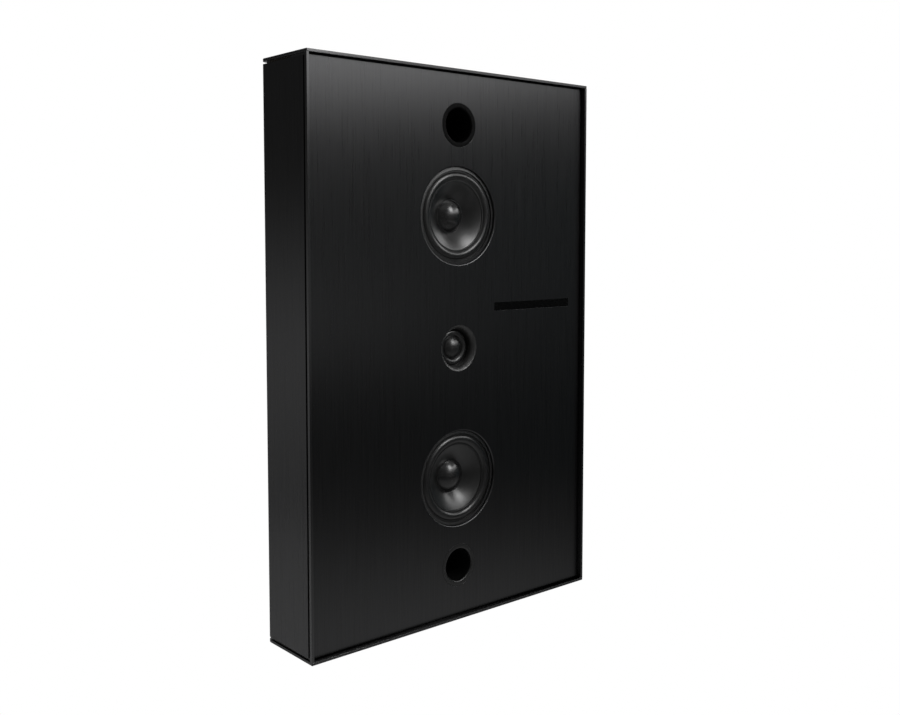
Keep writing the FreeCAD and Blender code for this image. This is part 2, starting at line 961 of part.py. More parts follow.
def hanging_rail():
    """Z section screwed to the rear panel, whose hook points down."""
    base = rear_face + rail_sheet
    hook = rear_face + rail_sheet + hook_room
    hook_tip = hook_level - hook_height + 2 * rail_sheet
    top = hook_level + rail_sheet + rail_height
    rail = extruded_along_x(
        rail_length,
        (top, rear_face),
        (top, base),
        (hook_level + rail_sheet, base),
        (hook_level + rail_sheet, hook + rail_sheet),
        (hook_tip, hook + rail_sheet),
        (hook_tip, hook),
        (hook_level, hook),
        (hook_level, rear_face),
    )
    return rail.cut([rod(x, z, screw_radius + screw_fit, rear_face, base) for x, z in rail_screw_places()])


def wall_bracket():
    """Plate on the wall whose bent top edge carries the hanging rail."""
    lip_back = rear_face + rail_sheet + hook_room - hook_play
    lip_front = lip_back - rail_sheet
    bend = hook_level - hook_height
    bracket = extruded_along_x(
        bracket_width,
        (-bracket_half_height, -rail_sheet),
        (bend, -rail_sheet),
        (bend, lip_front),
        (hook_level, lip_front),
        (hook_level, lip_back),
        (bend + rail_sheet, lip_back),
        (bend + rail_sheet, 0.0),
        (-bracket_half_height, 0.0),
    )
    holes = [
        rod(x * fixing_spacing_x / 2, z * fixing_spacing_z / 2, fixing_hole_radius, -rail_sheet, 0)
        for x in (-1, 1)
        for z in (-1, 1)
    ]
    return bracket.cut(holes)


def wall_bumpers():
    """Tapered rubber feet that keep the bottom of the cabinet off the wall."""
    x = inner_half_width - bumper_inset
    z = -(inner_half_height - bumper_inset)
    height = wall_gap + rear_recess
    foot = Part.makeCone(bumper_radius, bumper_tip_radius, height, Vector(x, rear_face, z), Vector(0, 1, 0))
    return [foot, mirrored(foot)]


# Terminals, crossover, lining and leads


def terminal_body(fit):
    """Outside of the terminal cup, or with a fit the hole for it."""
    half_width_here = terminal_width / 2 + fit
    half_height_here = terminal_height / 2 + fit
    level = -woofer_offset
    return rounded_box(
        service_x - half_width_here,
        service_x + half_width_here,
        terminal_floor - terminal_wall,
        rear_face,
        level - half_height_here,
        level + half_height_here,
        terminal_round,
        Vector(0, 1, 0),
    )


def socket_places():
    return [(service_x + side * socket_spacing / 2, -woofer_offset) for side in (-1, 1)]


def terminal_cup():
    """Moulded cup in the rear panel with a flange outside and a floor for the sockets."""
    level = -woofer_offset
    half_w = terminal_width / 2
    half_h = terminal_height / 2
    flange = rounded_box(
        service_x - half_w - terminal_flange,
        service_x + half_w + terminal_flange,
        rear_face,
        rear_face + terminal_wall,
        level - half_h - terminal_flange,
        level + half_h + terminal_flange,
        terminal_round,
        Vector(0, 1, 0),
    )
    hollow = rounded_box(
        service_x - half_w + terminal_wall,
        service_x + half_w - terminal_wall,
        terminal_floor,
        rear_face + terminal_wall,
        level - half_h + terminal_wall,
        level + half_h - terminal_wall,
        terminal_round - terminal_wall,
        Vector(0, 1, 0),
    )
    tails = [
        rod(x, z, socket_tail_radius, terminal_floor - terminal_wall, terminal_floor)
        for x, z in socket_places()
    ]
    return terminal_body(0).fuse(flange).removeSplitter().cut([hollow] + tails)


def terminal_sockets():
    """Two round sockets on the cup's floor, each with a bore for a plug and a tail for its lead."""
    sockets = []
    for x, z in socket_places():
        body = rod(x, z, socket_radius, terminal_floor, terminal_floor + socket_length)
        tail = rod(x, z, socket_tail_radius, socket_back, terminal_floor)
        bore = rod(x, z, socket_bore_radius, terminal_floor + terminal_wall, terminal_floor + socket_length)
        sockets.append(body.fuse(tail).cut(bore))
    return sockets


def standoff_places():
    dx = crossover_half_width - standoff_inset
    dz = crossover_half_height - standoff_inset
    return [(service_x + sx * dx, sz * dz) for sx in (-1, 1) for sz in (-1, 1)]


def crossover_board():
    return box(
        service_x - crossover_half_width,
        service_x + crossover_half_width,
        crossover_face,
        crossover_back,
        -crossover_half_height,
        crossover_half_height,
    )


def crossover_standoffs():
    return [rod(x, z, standoff_radius, crossover_back, rear_inside) for x, z in standoff_places()]


def crossover_coils():
    """Two air-cored chokes lying flat on the board."""
    chokes = []
    for side in (-1, 1):
        x = service_x + choke_radius + part_gap / 2
        z = side * (choke_radius + part_gap / 2)
        body = rod(x, z, choke_radius, crossover_face - choke_height, crossover_face)
        chokes.append(body.cut(rod(x, z, choke_bore_radius, crossover_face - choke_height, crossover_face)))
    return chokes


def crossover_capacitors():
    """Two film capacitors lying along the board, one above the other."""
    x = service_x - capacitor_radius - part_gap / 2
    y = crossover_face - capacitor_radius
    cans = []
    for up in (-1, 1):
        base = Vector(x, y, up * part_gap / 2)
        cans.append(Part.makeCylinder(capacitor_radius, capacitor_length, base, Vector(0, 0, up)))
    return cans


def damping_pads():
    """Felt on the inside of the rear panel, beside the woofers' magnets on the side away from the leads."""
    low = brace_level + brace_thickness / 2 + pad_margin
    high = inner_half_height - pad_margin
    x_from = -inner_half_width + pad_margin
    x_to = -flange_radius
    pad = box(x_from, x_to, rear_inside - pad_thickness, rear_inside, low, high)
    return [pad, pad.mirror(Vector(), Vector(0, 0, 1))]


def lead(*corners):
    """Wire along straight runs joined by tangent arcs."""
    edges = []
    here = corners[0]
    for corner, after in zip(corners[1:-1], corners[2:]):
        into = (corner - here).normalize()
        out = (after - corner).normalize()
        start = corner - into * lead_bend
        end = corner + out * lead_bend
        middle = corner + (out - into).normalize() * lead_bend * (math.sqrt(2) - 1)
        edges.append(Part.LineSegment(here, start).toShape())
        edges.append(Part.Arc(start, middle, end).toShape())
        here = end
    edges.append(Part.LineSegment(here, corners[-1]).toShape())
    direction = (corners[1] - corners[0]).normalize()
    section = Part.Wire(Part.makeCircle(lead_radius, corners[0], direction))
    return Part.Wire(edges).makePipeShell([section], True, False)


def driver_leads():
    """Leads from the crossover to the drivers, and from the sockets to the crossover."""
    solder_x = service_x - crossover_half_width + standoff_inset
    solder_z = crossover_half_height - standoff_inset / 2
    tag_middle = tag_at + tag_thickness / 2
    leads = []
    for up in (-1, 1):
        tag_level = up * (woofer_offset - tag_spacing / 2)
        leads.append(
            lead(
                Vector(solder_x, crossover_face, up * solder_z),
                Vector(solder_x, tag_middle, up * solder_z),
                Vector(solder_x, tag_middle, tag_level),
                Vector(tag_end, tag_middle, tag_level),
            )
        )
    leads.append(
        lead(
            Vector(solder_x, crossover_face, 0),
            Vector(solder_x, crossover_face - 2 * lead_bend, 0),
            Vector(0, crossover_face - 2 * lead_bend, 0),
            Vector(0, rear_cup_back, 0),
        )
    )
    for x, z in socket_places():
        leads.append(
            lead(
                Vector(x, socket_back, z),
                Vector(x, socket_back - 2 * lead_bend, z),
                Vector(x, socket_back - 2 * lead_bend, -solder_z),
                Vector(x, crossover_face, -solder_z),
            )
        )
    return leads


def all_pieces():
    """Every piece by the name of its node; a list of solids shares one node."""
    pieces = {
        "top_plate": end_plate(1),
        "bottom_plate": end_plate(-1),
        "right_upright": upright(),
        "left_upright": mirrored(upright()),
        "right_side_panel": side_panel(),
        "left_side_panel": mirrored(side_panel()),
        "front_panel": front_panel(),
        "strip_insert": strip(0, panel_front + strip_sink),
        "sub_baffle": sub_baffle(),
        "right_board": side_board(),
        "left_board": mirrored(side_board()),
        "top_board": end_board(1),
        "bottom_board": end_board(-1),
        "rear_panel": rear_panel(),
        "upper_brace": brace(brace_level),
        "lower_brace": brace(-brace_level),
        "tweeter_faceplate": tweeter_faceplate(),
        "tweeter_dome": tweeter_dome(),
        "tweeter_voice_coil": tweeter_voice_coil(),
        "tweeter_pole_plate": tweeter_pole_plate(),
        "tweeter_magnet": tweeter_magnet(),
        "tweeter_yoke": tweeter_yoke(),
        "tweeter_rear_cup": tweeter_rear_cup(),
        "hanging_rail": hanging_rail(),
        "wall_bracket": wall_bracket(),
        "wall_bumpers": wall_bumpers(),
        "terminal_cup": terminal_cup(),
        "terminal_sockets": terminal_sockets(),
        "crossover_board": crossover_board(),
        "crossover_standoffs": crossover_standoffs(),
        "crossover_coils": crossover_coils(),
        "crossover_capacitors": crossover_capacitors(),
        "damping_pads": damping_pads(),
        "driver_leads": driver_leads(),
    }
    woofer_pieces = {
        "basket": basket,
        "surround": surround,
        "cone": cone,
        "dust_cap": dust_cap,
        "voice_coil": voice_coil,
        "spider": spider,
        "pole_plate": pole_plate,
        "magnet": magnet,
        "yoke": yoke,
    }
    for where, level in woofer_levels.items():
        for piece, make in woofer_pieces.items():
            pieces[f"{where}_woofer_{piece}"] = make(level)
        pieces[f"{where}_port"] = port(port_levels[where])
    levels = woofer_levels.values()
    pieces["woofer_gaskets"] = [gasket(level) for level in levels]
    pieces["woofer_terminals"] = [solid for level in levels for solid in terminal_tags(level)]
    pieces["woofer_screws"] = [
        countersunk_screw(x, z, woofer_face, driver_screw_length)
        for level in levels
        for x, z in woofer_screw_places(level)
    ]
    pieces["tweeter_screws"] = [
        countersunk_screw(x, z, tweeter_face, driver_screw_length) for x, z in tweeter_screw_places()
    ]
    pieces["plate_screws"] = [plate_screw(x, y, up) for up in (-1, 1) for x, y in plate_screw_places()]
    forward = Vector(0, -1, 0)
    pieces["rear_screws"] = [
        round_head_screw(Vector(x, rear_face, z), forward, board_screw_length)
        for x, z in rear_screw_places()
    ] + [
        round_head_screw(Vector(x, rear_face + rail_sheet, z), forward, rail_sheet + rear_panel_thickness)
        for x, z in rail_screw_places()
    ]
    return pieces


os.makedirs("parts", exist_ok=True)
for name, piece in all_pieces().items():
    shape = Part.makeCompound(piece) if isinstance(piece, list) else piece
    shape.exportStep(f"parts/{name}.step")
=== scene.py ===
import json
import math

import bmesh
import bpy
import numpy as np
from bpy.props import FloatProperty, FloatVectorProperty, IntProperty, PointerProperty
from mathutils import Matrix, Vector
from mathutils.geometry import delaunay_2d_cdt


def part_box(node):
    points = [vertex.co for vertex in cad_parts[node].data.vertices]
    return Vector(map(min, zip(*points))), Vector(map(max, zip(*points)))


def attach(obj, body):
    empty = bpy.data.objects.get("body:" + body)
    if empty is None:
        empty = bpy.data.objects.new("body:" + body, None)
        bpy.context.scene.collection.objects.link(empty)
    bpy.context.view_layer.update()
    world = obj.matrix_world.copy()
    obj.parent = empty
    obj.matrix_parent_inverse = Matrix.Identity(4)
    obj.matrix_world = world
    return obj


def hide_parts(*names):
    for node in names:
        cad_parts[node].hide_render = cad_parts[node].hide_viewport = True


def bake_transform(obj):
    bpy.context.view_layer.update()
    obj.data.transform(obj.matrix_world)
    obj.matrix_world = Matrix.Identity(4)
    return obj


bl_info = {
    "name": "Wall Loudspeaker",
    "version": (1, 0, 0),
    "blender": (4, 5, 0),
    "location": "3D View > Sidebar > Loudspeaker",
    "description": "Dresses the frame of a flat two-way wall loudspeaker and lights it in a studio",
    "category": "Object",
}

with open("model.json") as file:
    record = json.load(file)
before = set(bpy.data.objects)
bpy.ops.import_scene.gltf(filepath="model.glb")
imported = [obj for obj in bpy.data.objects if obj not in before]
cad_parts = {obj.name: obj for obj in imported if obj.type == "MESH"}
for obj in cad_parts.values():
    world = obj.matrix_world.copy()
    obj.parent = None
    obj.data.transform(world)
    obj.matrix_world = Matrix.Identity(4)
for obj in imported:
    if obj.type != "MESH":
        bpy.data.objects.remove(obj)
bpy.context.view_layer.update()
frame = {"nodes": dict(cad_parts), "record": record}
slot_of_node = {part["node"]: part["material_slot"] for part in frame["record"]["subparts"]}

WHERE = ("upper", "lower")
MERGE_DISTANCE = 1e-6
SHARP_ANGLE = math.radians(32)
TRIANGLES_INSIDE = 1  # fills everything within the outer outline
AREA_ALONE = 100  # weight at which the largest faces decide the normals


# Sizes and colours that a user would change


def length(name, default, description, lowest=0.0):
    return FloatProperty(
        name=name, description=description, default=default, min=lowest, unit="LENGTH", precision=5
    )


def angle(name, degrees, description):
    return FloatProperty(name=name, description=description, default=math.radians(degrees), subtype="ANGLE")


def colour(name, default, description):
    return FloatVectorProperty(
        name=name, description=description, default=default, subtype="COLOR", min=0.0, max=1.0
    )


def amount(name, default, description):
    return FloatProperty(name=name, description=description, default=default, precision=4)


class CabinetSizes(bpy.types.PropertyGroup):
    edge_round: length("Edge rounding", 0.00035, "Rounding of the metal's outer edges")
    side_sheet: length("Side sheet", 0.002, "Thickness of the side panels")
    lip_depth: length("Lip depth", 0.0042, "Side face of the front lip")
    fold_radius: length("Fold radius", 0.008, "Outside radius of the fold at the rear")
    opening_radius: length("Woofer opening", 0.058, "Radius of a woofer's opening in the panel")
    opening_round: length("Opening rounding", 0.0018, "Rounded front edge of a woofer's opening")
    port_hole_radius: length("Port hole", 0.02595, "Radius of a port's hole in the panel")
    tweeter_hole_radius: length("Tweeter hole", 0.02795, "Radius of the tweeter's hole in the panel")
    hole_round: length("Hole rounding", 0.00015, "Broken edge of the smaller holes")
    strip_fit: length("Strip fit", 0.00015, "Gap between the strip and its slot")


class WooferSizes(bpy.types.PropertyGroup):
    cone_radius: length("Cone radius", 0.0428, "Radius of the cone's outer lip")
    cone_wall: length("Cone wall", 0.001, "Thickness of the cone")
    cone_flare: length("Cone flare", 0.0019, "How far the cone's line bows towards the front")
    neck_radius: length("Neck radius", 0.0133, "Radius of the cone's neck")
    roll_width: length("Roll width", 0.009, "Width of the surround's roll")
    roll_height: length("Roll height", 0.0024, "Height of the surround's roll")
    land_width: length("Land width", 0.0022, "Glued edge on each side of the roll")
    land_round: length("Land rounding", 0.00035, "Rounded inner edge of the surround")
    surround_wall: length("Surround wall", 0.0006, "Thickness of the rubber")
    cap_wall: length("Cap wall", 0.0008, "Thickness of the dust cap")
    cap_lip: length("Cap lip", 0.0007, "Flat edge round the dust cap")
    coil_radius: length("Coil radius", 0.0132, "Outside radius of the voice coil's former")
    coil_gap: length("Coil gap", 0.0003, "Room between the spider and the voice coil")
    spider_wall: length("Spider wall", 0.0006, "Thickness of the spider's cloth")
    spider_collar: length("Spider collar", 0.003, "Flat part of the spider at the coil")
    spider_rim: length("Spider rim", 0.008, "Flat part of the spider on its seat")
    spider_wave: length("Spider wave", 0.0014, "Height of the spider's waves")
    spider_waves: IntProperty(name="Spider waves", description="Number of waves", default=3, min=1)


class TweeterSizes(bpy.types.PropertyGroup):
    dome_radius: length("Dome radius", 0.014, "Radius of the dome's foot")
    roll_width: length("Roll width", 0.008, "Width of the roll round the dome")
    roll_height: length("Roll height", 0.0022, "Height of the roll round the dome")
    membrane_wall: length("Membrane wall", 0.0005, "Thickness of the coated cloth")


class PortSizes(bpy.types.PropertyGroup):
    bore_radius: length("Bore", 0.0198, "Radius of the tube's bore")
    wall: length("Wall", 0.0025, "Wall of the tube")
    mouth_round: length("Mouth rounding", 0.0018, "Rounding where the flange meets the bore")
    flange_depth: length("Flange depth", 0.003, "Depth of the flange in the panel")


class RearSizes(bpy.types.PropertyGroup):
    screw_radius: length("Screw", 0.0019, "Radius of a screw's shank")
    screw_head_height: length("Screw head", 0.0018, "Height of a screw's head")
    hex_size: length("Hexagon", 0.0015, "Half the width of the hexagon in a screw's head")
    hex_depth: length("Hexagon depth", 0.0012, "Depth of the hexagon in a screw's head")
    bumper_round: length("Bumper rounding", 0.0015, "Rounding of a bumper's tip")
    socket_bore: length("Socket bore", 0.00205, "Radius of the bore for a plug")


class Colours(bpy.types.PropertyGroup):
    black_metal: colour("Black metal", (0.060, 0.060, 0.061), "Reflected colour of the anodised metal")
    # The lip's metal is lighter than the panel's: painted highlight for the light its rounded edge catches.
    lip: colour("Lip", (0.080, 0.080, 0.081), "Reflected colour of the front lip")
    strip: colour("Strip", (0.002, 0.002, 0.002), "Polished strip")
    plastic: colour("Plastic", (0.004, 0.004, 0.004), "Moulded parts")
    coating: colour("Coating", (0.010, 0.010, 0.010), "Coated castings")
    cone: colour("Cone", (0.003, 0.003, 0.003), "Coated pulp")
    bracket: colour("Bracket", (0.03, 0.03, 0.031), "Coated sheet at the rear")
    rubber: colour("Rubber", (0.003, 0.003, 0.003), "Surround and bumpers")
    dome: colour("Dome", (0.004, 0.004, 0.004), "Coated cloth of the dome and caps")


class StageSettings(bpy.types.PropertyGroup):
    camera_place: FloatVectorProperty(
        name="Camera",
        description="Place of the lens",
        default=(-0.8079, -1.0179, 0.1374),
        subtype="TRANSLATION",
    )
    camera_yaw: angle("Yaw", 40.498, "Turn of the view to the right")
    camera_pitch: angle("Pitch", 3.887, "Tilt of the view downwards")
    camera_lens: amount("Lens", 41.237, "Focal length on a 36 mm sensor")
    camera_rise: amount("Vertical shift", -0.06, "Shift of the lens")
    floor_level: length("Floor", -0.9, "Height of the floor", -10.0)
    card_level: length("Card", -0.45, "Height of the pale card below the cabinet", -10.0)
    tent_radius: length("Tent", 2.6, "Radius of the dark tent round the front")
    tent_height: length("Tent height", 2.4, "Height of the tent's roof")
    key_strength: amount("Key", 14.5, "Brightness of the softbox high on the right")


# Shader maths

WHITE = (1.0, 1.0, 1.0, 1.0)
BLACK = (0.0, 0.0, 0.0, 1.0)


class Wire:
    """A socket in a material. Arithmetic on wires adds Math nodes, so a pattern reads like its formula."""

    def __init__(self, tree, socket=None):
        self.tree = tree
        self.socket = socket

    def node(self, kind, settings, inputs, output=0):
        """New node: its settings are set first, then each input takes a number, a colour or a wire."""
        made = self.tree.nodes.new(kind)
        for name, value in settings.items():
            setattr(made, name, value)
        for key, value in inputs.items():
            if isinstance(value, Wire):
                self.tree.links.new(value.socket, made.inputs[key])
            else:
                made.inputs[key].default_value = value
        return Wire(self.tree, made.outputs[output])

    def part(self, axis):
        """One coordinate of a vector: 0 for x, 1 for y and 2 for z."""
        return self.node("ShaderNodeSeparateXYZ", {}, {0: self}, axis)

    def ray(self, kind):
        """1 for rays of a kind, and 0 for others."""
        return self.node("ShaderNodeLightPath", {}, {}, f"Is {kind} Ray")

    def math(self, operation, first, second=0.0):
        return self.node("ShaderNodeMath", {"operation": operation}, {0: first, 1: second})

    def __add__(self, other):
        return self.math("ADD", self, other)

    def __sub__(self, other):
        return self.math("SUBTRACT", self, other)

    def __mul__(self, other):
        return self.math("MULTIPLY", self, other)

    def __rsub__(self, other):
        return self.math("SUBTRACT", other, self)

    __radd__ = __add__
    __rmul__ = __mul__

    def between(self, low, high):
        """Smooth step from 0 at low to 1 at high."""
        settings = {"interpolation_type": "SMOOTHSTEP"}
        return self.node("ShaderNodeMapRange", settings, {0: self, 1: low, 2: high, 3: 0.0, 4: 1.0})

    def mix(self, first, second):
        """Colour between first, where this wire is 0, and second, where it is 1."""
        return self.node("ShaderNodeMix", {"data_type": "RGBA"}, {0: self, 6: first, 7: second}, 2)


class Finish:
    """A material in the making, with the patterns that the finishes share."""

    def __init__(self, name):
        self.material = bpy.data.materials.new(name)
        self.material.use_nodes = True
        self.wire = Wire(self.material.node_tree)
        self.shader = self.wire.tree.nodes["Principled BSDF"]
        self.place = self.wire.node("ShaderNodeTexCoord", {}, {}, "Object")

    def set(self, **values):
        """Constants go on the shader's own sockets, and wires are linked to them."""
        for name, value in values.items():
            socket = self.shader.inputs[name.replace("_", " ").title().replace("Ior", "IOR")]
            if isinstance(value, Wire):
                self.wire.tree.links.new(value.socket, socket)
            else:
                socket.default_value = value

    def show(self, shader):
        """Another shader takes the place of the usual one."""
        nodes = self.wire.tree.nodes
        nodes.remove(self.shader)
        self.wire.tree.links.new(shader.socket, nodes["Material Output"].inputs["Surface"])
        return self.material

    def noise(self, scale, detail=2.0, roughness=0.5, stretch=(1.0, 1.0, 1.0)):
        """Noise around 0: scale counts lumps to the metre, and stretch multiplies that along each axis."""
        place = self.wire.node("ShaderNodeMapping", {}, {"Vector": self.place, "Scale": stretch})
        inputs = {"Vector": place, "Scale": scale, "Detail": detail, "Roughness": roughness}
        return self.wire.node("ShaderNodeTexNoise", {}, inputs) - 0.5

    def wave(self, axis, scale, **inputs):
        """Sine wave from 0 to 1 along an axis."""
        settings = {"wave_type": "BANDS", "bands_direction": axis, "wave_profile": "SIN"}
        inputs = {"Vector": self.place, "Scale": scale, **inputs}
        return self.wire.node("ShaderNodeTexWave", settings, inputs, 1)

    def bump(self, height, distance, strength=1.0):
        inputs = {"Height": height, "Distance": distance, "Strength": strength}
        self.set(normal=self.wire.node("ShaderNodeBump", {}, inputs))

    def tint(self, base, factor):
        """Base colour that a factor around 1 makes lighter or darker."""
        light = tuple(2 * c for c in base) + (1.0,)
        self.set(base_color=(factor * 0.5).mix(BLACK, light))


def brushed(name, base, stretch, turn):
    """Anodised metal: long hair lines along the grain change its reflection, gloss and relief."""
    finish = Finish(name)
    hair = finish.noise(1100.0, 3.0, 0.6, stretch)
    band = finish.noise(360.0, 3.0, 0.6, stretch)
    streak = hair * 0.7 + band * 0.6
    finish.tint(base, 1.0 + streak * 0.45)
    finish.set(metallic=1.0, roughness=0.29 + streak * 0.12, specular_tint=(0.5, 0.5, 0.5, 1.0))
    finish.set(anisotropic=0.82, anisotropic_rotation=turn)
    finish.bump(hair, 0.00002, 0.35)
    return finish.material


def grained(name, base, gloss, lumps, relief, shine=0.5, metal=0.0, spread=0.25):
    """Moulded, painted or sintered surface: fine lumps in relief, with slow changes of tone and gloss."""
    finish = Finish(name)
    fine = finish.noise(lumps, 3.0, 0.6)
    slow = finish.noise(60.0)
    finish.tint(base, 1.0 + slow * spread + fine * spread)
    finish.set(metallic=metal, roughness=gloss + slow * 0.08 + fine * 0.08, specular_ior_level=shine)
    finish.bump(fine, relief)
    return finish.material


def woven(name, base, gloss, threads, relief):
    """Cloth: two waves cross each other, one thread up where the other is down."""
    finish = Finish(name)
    across, along = (finish.wave(axis, threads, Distortion=0.4, Detail=1.0) - 0.5 for axis in "XZ")
    weave = across * along
    slow = finish.noise(90.0)
    finish.tint(base, 1.0 + weave * 0.4 + slow * 0.2)
    finish.set(roughness=gloss + slow * 0.1)
    finish.bump(weave, relief)
    return finish.material


BOARD_FACES = ((0, 0.206), (2, 0.319))  # axis across a board's outer face, and how far out that is
PAINT_DEPTH = 0.0005


def fibrous(name, base, gloss, fibres, relief, paint=False):
    """Felt, pulp or pressed fibre: noise bent by noise leaves threads that cross in all directions.
    With paint, the outer faces are black, so that none of the board shows in the joints of the skin."""
    finish = Finish(name)
    wire = finish.wire
    bend = finish.noise(fibres * 0.4)
    thread = finish.noise(fibres, 4.0, 0.7)
    lines = 1.0 - wire.math("ABSOLUTE", thread + bend * 0.6) * 4.0
    slow = finish.noise(40.0)
    tone = 1.0 + lines * 0.12 + slow * 0.4
    if paint:
        sides = [(wire.math("ABSOLUTE", finish.place.part(axis)), face) for axis, face in BOARD_FACES]
        bare_x, bare_z = (1.0 - side.between(face - PAINT_DEPTH, face) for side, face in sides)
        tone = tone * (0.03 + 0.97 * (bare_x * bare_z))
    finish.tint(base, tone)
    finish.set(roughness=gloss + lines * 0.04 + slow * 0.1)
    finish.bump(lines, relief)
    return finish.material


def wound(name, base, gloss, turns, relief):
    """Enamelled wire wound in fine turns side by side."""
    finish = Finish(name)
    wave = finish.wave("Y", turns)
    slow = finish.noise(200.0)
    finish.tint(base, 0.7 + wave * 0.4 + slow * 0.3)
    finish.set(metallic=1.0, roughness=gloss + slow * 0.1)
    finish.bump(wave, relief)
    return finish.material


LEVEL_GRAIN = (0.02, 1.0, 1.0)
UPRIGHT_GRAIN = (1.0, 1.0, 0.02)


def make_finish(slot, name):
    """A slot's finish. A row holds its kind and colour, then for brushed metal the grain and its turn, and
    for the others roughness, marks to the metre and relief in metres. Grained ones can add their reflection,
    metal and spread of tone, and a fibrous one says whether its outer faces are painted."""
    colours = bpy.context.scene.speaker_colours
    rows = {
        "black_aluminium": (brushed, colours.black_metal, UPRIGHT_GRAIN, 0.0),
        "level_aluminium": (brushed, colours.black_metal, LEVEL_GRAIN, 0.25),
        # Same anodised metal as the panel, made lighter: painted highlight on the front lip.
        "lip_aluminium": (brushed, colours.lip, UPRIGHT_GRAIN, 0.0),
        "gloss_strip": (grained, colours.strip, 0.06, 400.0, 0.0000002, 0.06),
        "black_board": (fibrous, (0.014, 0.014, 0.014), 0.62, 900.0, 0.00003),
        "fibre_board": (fibrous, (0.36, 0.25, 0.15), 0.85, 1200.0, 0.00006, True),
        "black_plastic": (grained, colours.plastic, 0.3, 2600.0, 0.00001, 0.45),
        # The upper port's copy of the black plastic, darker and with almost no reflection: painted shade for
        # the dark the light leaves on that port.
        "flat_plastic": (grained, colours.strip, 0.4, 2600.0, 0.00002, 0.03),
        "faceplate_plastic": (grained, colours.plastic, 0.46, 2600.0, 0.000008, 0.8),
        "basket_metal": (grained, colours.coating, 0.34, 1800.0, 0.00001),
        "bracket_metal": (grained, colours.bracket, 0.42, 1500.0, 0.00005),
        "cone_pulp": (fibrous, colours.cone, 0.29, 700.0, 0.000012),
        "dust_cap": (grained, colours.dome, 0.26, 1500.0, 0.000004),
        "roll_rubber": (grained, colours.rubber, 0.31, 1400.0, 0.000004, 0.46),
        "bumper_rubber": (grained, colours.rubber, 0.75, 1600.0, 0.00004),
        "spider_cloth": (woven, (0.62, 0.47, 0.22), 0.8, 350.0, 0.0002),
        "dome_cloth": (woven, colours.dome, 0.32, 620.0, 0.00001),
        "ferrite": (grained, (0.05, 0.05, 0.055), 0.6, 900.0, 0.00006, 0.5, 0.3),
        "zinc_steel": (grained, (0.5, 0.5, 0.5), 0.34, 500.0, 0.00001, 0.5, 1.0, 0.2),
        "black_screw": (grained, (0.05, 0.05, 0.05), 0.36, 2200.0, 0.00001, 0.5, 0.9, 0.3),
        "copper": (wound, (0.62, 0.27, 0.11), 0.3, 700.0, 0.0001),
        "socket_brass": (grained, (0.75, 0.54, 0.2), 0.22, 700.0, 0.000008, 0.5, 1.0, 0.2),
        "circuit_board": (grained, (0.02, 0.11, 0.04), 0.35, 500.0, 0.00001),
        "capacitor_film": (grained, (0.55, 0.36, 0.05), 0.25, 300.0, 0.00002),
        "felt": (fibrous, (0.3, 0.3, 0.29), 0.95, 900.0, 0.0003),
        "lead_sleeve": (grained, (0.11, 0.012, 0.012), 0.4, 900.0, 0.00002),
    }
    kind, *values = rows[slot]
    return kind(name, *values)


def finish_of(slot):
    """The slot's finish, made when it is first asked for."""
    name = f"{slot}_finish"
    return bpy.data.materials.get(name) or make_finish(slot, name)


# Shapes


def grid_faces(rows, columns, closed_rows=False, closed_columns=False):
    """Quads between the neighbours of a grid of points; a closed direction joins its end to its start."""
    row = np.arange(rows if closed_rows else rows - 1)
    column = np.arange(columns if closed_columns else columns - 1)
    i, j = np.meshgrid(row, column, indexing="ij")
    after_i = (i + 1) % rows
    after_j = (j + 1) % columns
    corners = [i * columns + j, i * columns + after_j, after_i * columns + after_j, after_i * columns + j]
    return np.stack(corners, axis=-1).reshape(-1, 4)


def rounding(ease, steps):
    """Quarter circle of an edge: its points lie ease times 1 - sin a from the side, and ease times 1 - cos a
    from the face."""
    sweep = np.linspace(0, np.pi / 2, steps + 1)
    return ease * (1 - np.sin(sweep)), ease * (1 - np.cos(sweep))


def eased(corners, steps=6):
    """Closed outline with rounded corners. A corner is two coordinates and a radius: its arc runs
    between the points where a circle of that radius touches both sides."""
    spots = np.array([corner[:2] for corner in corners])
    runs = []
    for before, spot, after, corner in zip(np.roll(spots, 1, 0), spots, np.roll(spots, -1, 0), corners):
        if corner[2] == 0:
            runs.append(spot[None])
            continue
        one = (before - spot) / np.linalg.norm(before - spot)
        other = (after - spot) / np.linalg.norm(after - spot)
        half = np.arccos(np.clip(one @ other, -1, 1)) / 2
        centre = spot + (one + other) / np.linalg.norm(one + other) * corner[2] / np.sin(half)
        reach = corner[2] / np.tan(half)
        start = spot + one * reach - centre
        end = spot + other * reach - centre
        sweep = np.pi - 2 * half
        share = np.linspace(0, 1, steps + 1)[:, None]
        arc = (np.sin((1 - share) * sweep) * start + np.sin(share * sweep) * end) / np.sin(sweep)
        runs.append(centre + arc)
    return np.concatenate(runs)


def bow(start, end, rise, steps=24):
    """Points of the circular arc from start to end whose middle stands off the chord by rise, to its left:
    the arc's half angle is twice the angle whose tangent is rise over half the chord."""
    start, end = np.array(start), np.array(end)
    chord = end - start
    span = np.linalg.norm(chord)
    along = chord / span
    left = np.array([-along[1], along[0]])
    half_angle = 2 * math.atan(2 * rise / span)
    radius = span / 2 / math.sin(half_angle)
    angle = np.linspace(-half_angle, half_angle, steps + 1)[:, None]
    middle = (start + end) / 2
    return middle + along * radius * np.sin(angle) + left * radius * (np.cos(angle) - math.cos(half_angle))


def cap_of(sphere, foot, front, steps):
    """Line of a spherical cap from its tip out to the radius foot: sphere times sin a, and front + sphere
    times 1 - cos a."""
    angle = np.linspace(0, math.asin(foot / sphere), steps)
    return np.column_stack([sphere * np.sin(angle), front + sphere * (1 - np.cos(angle))])


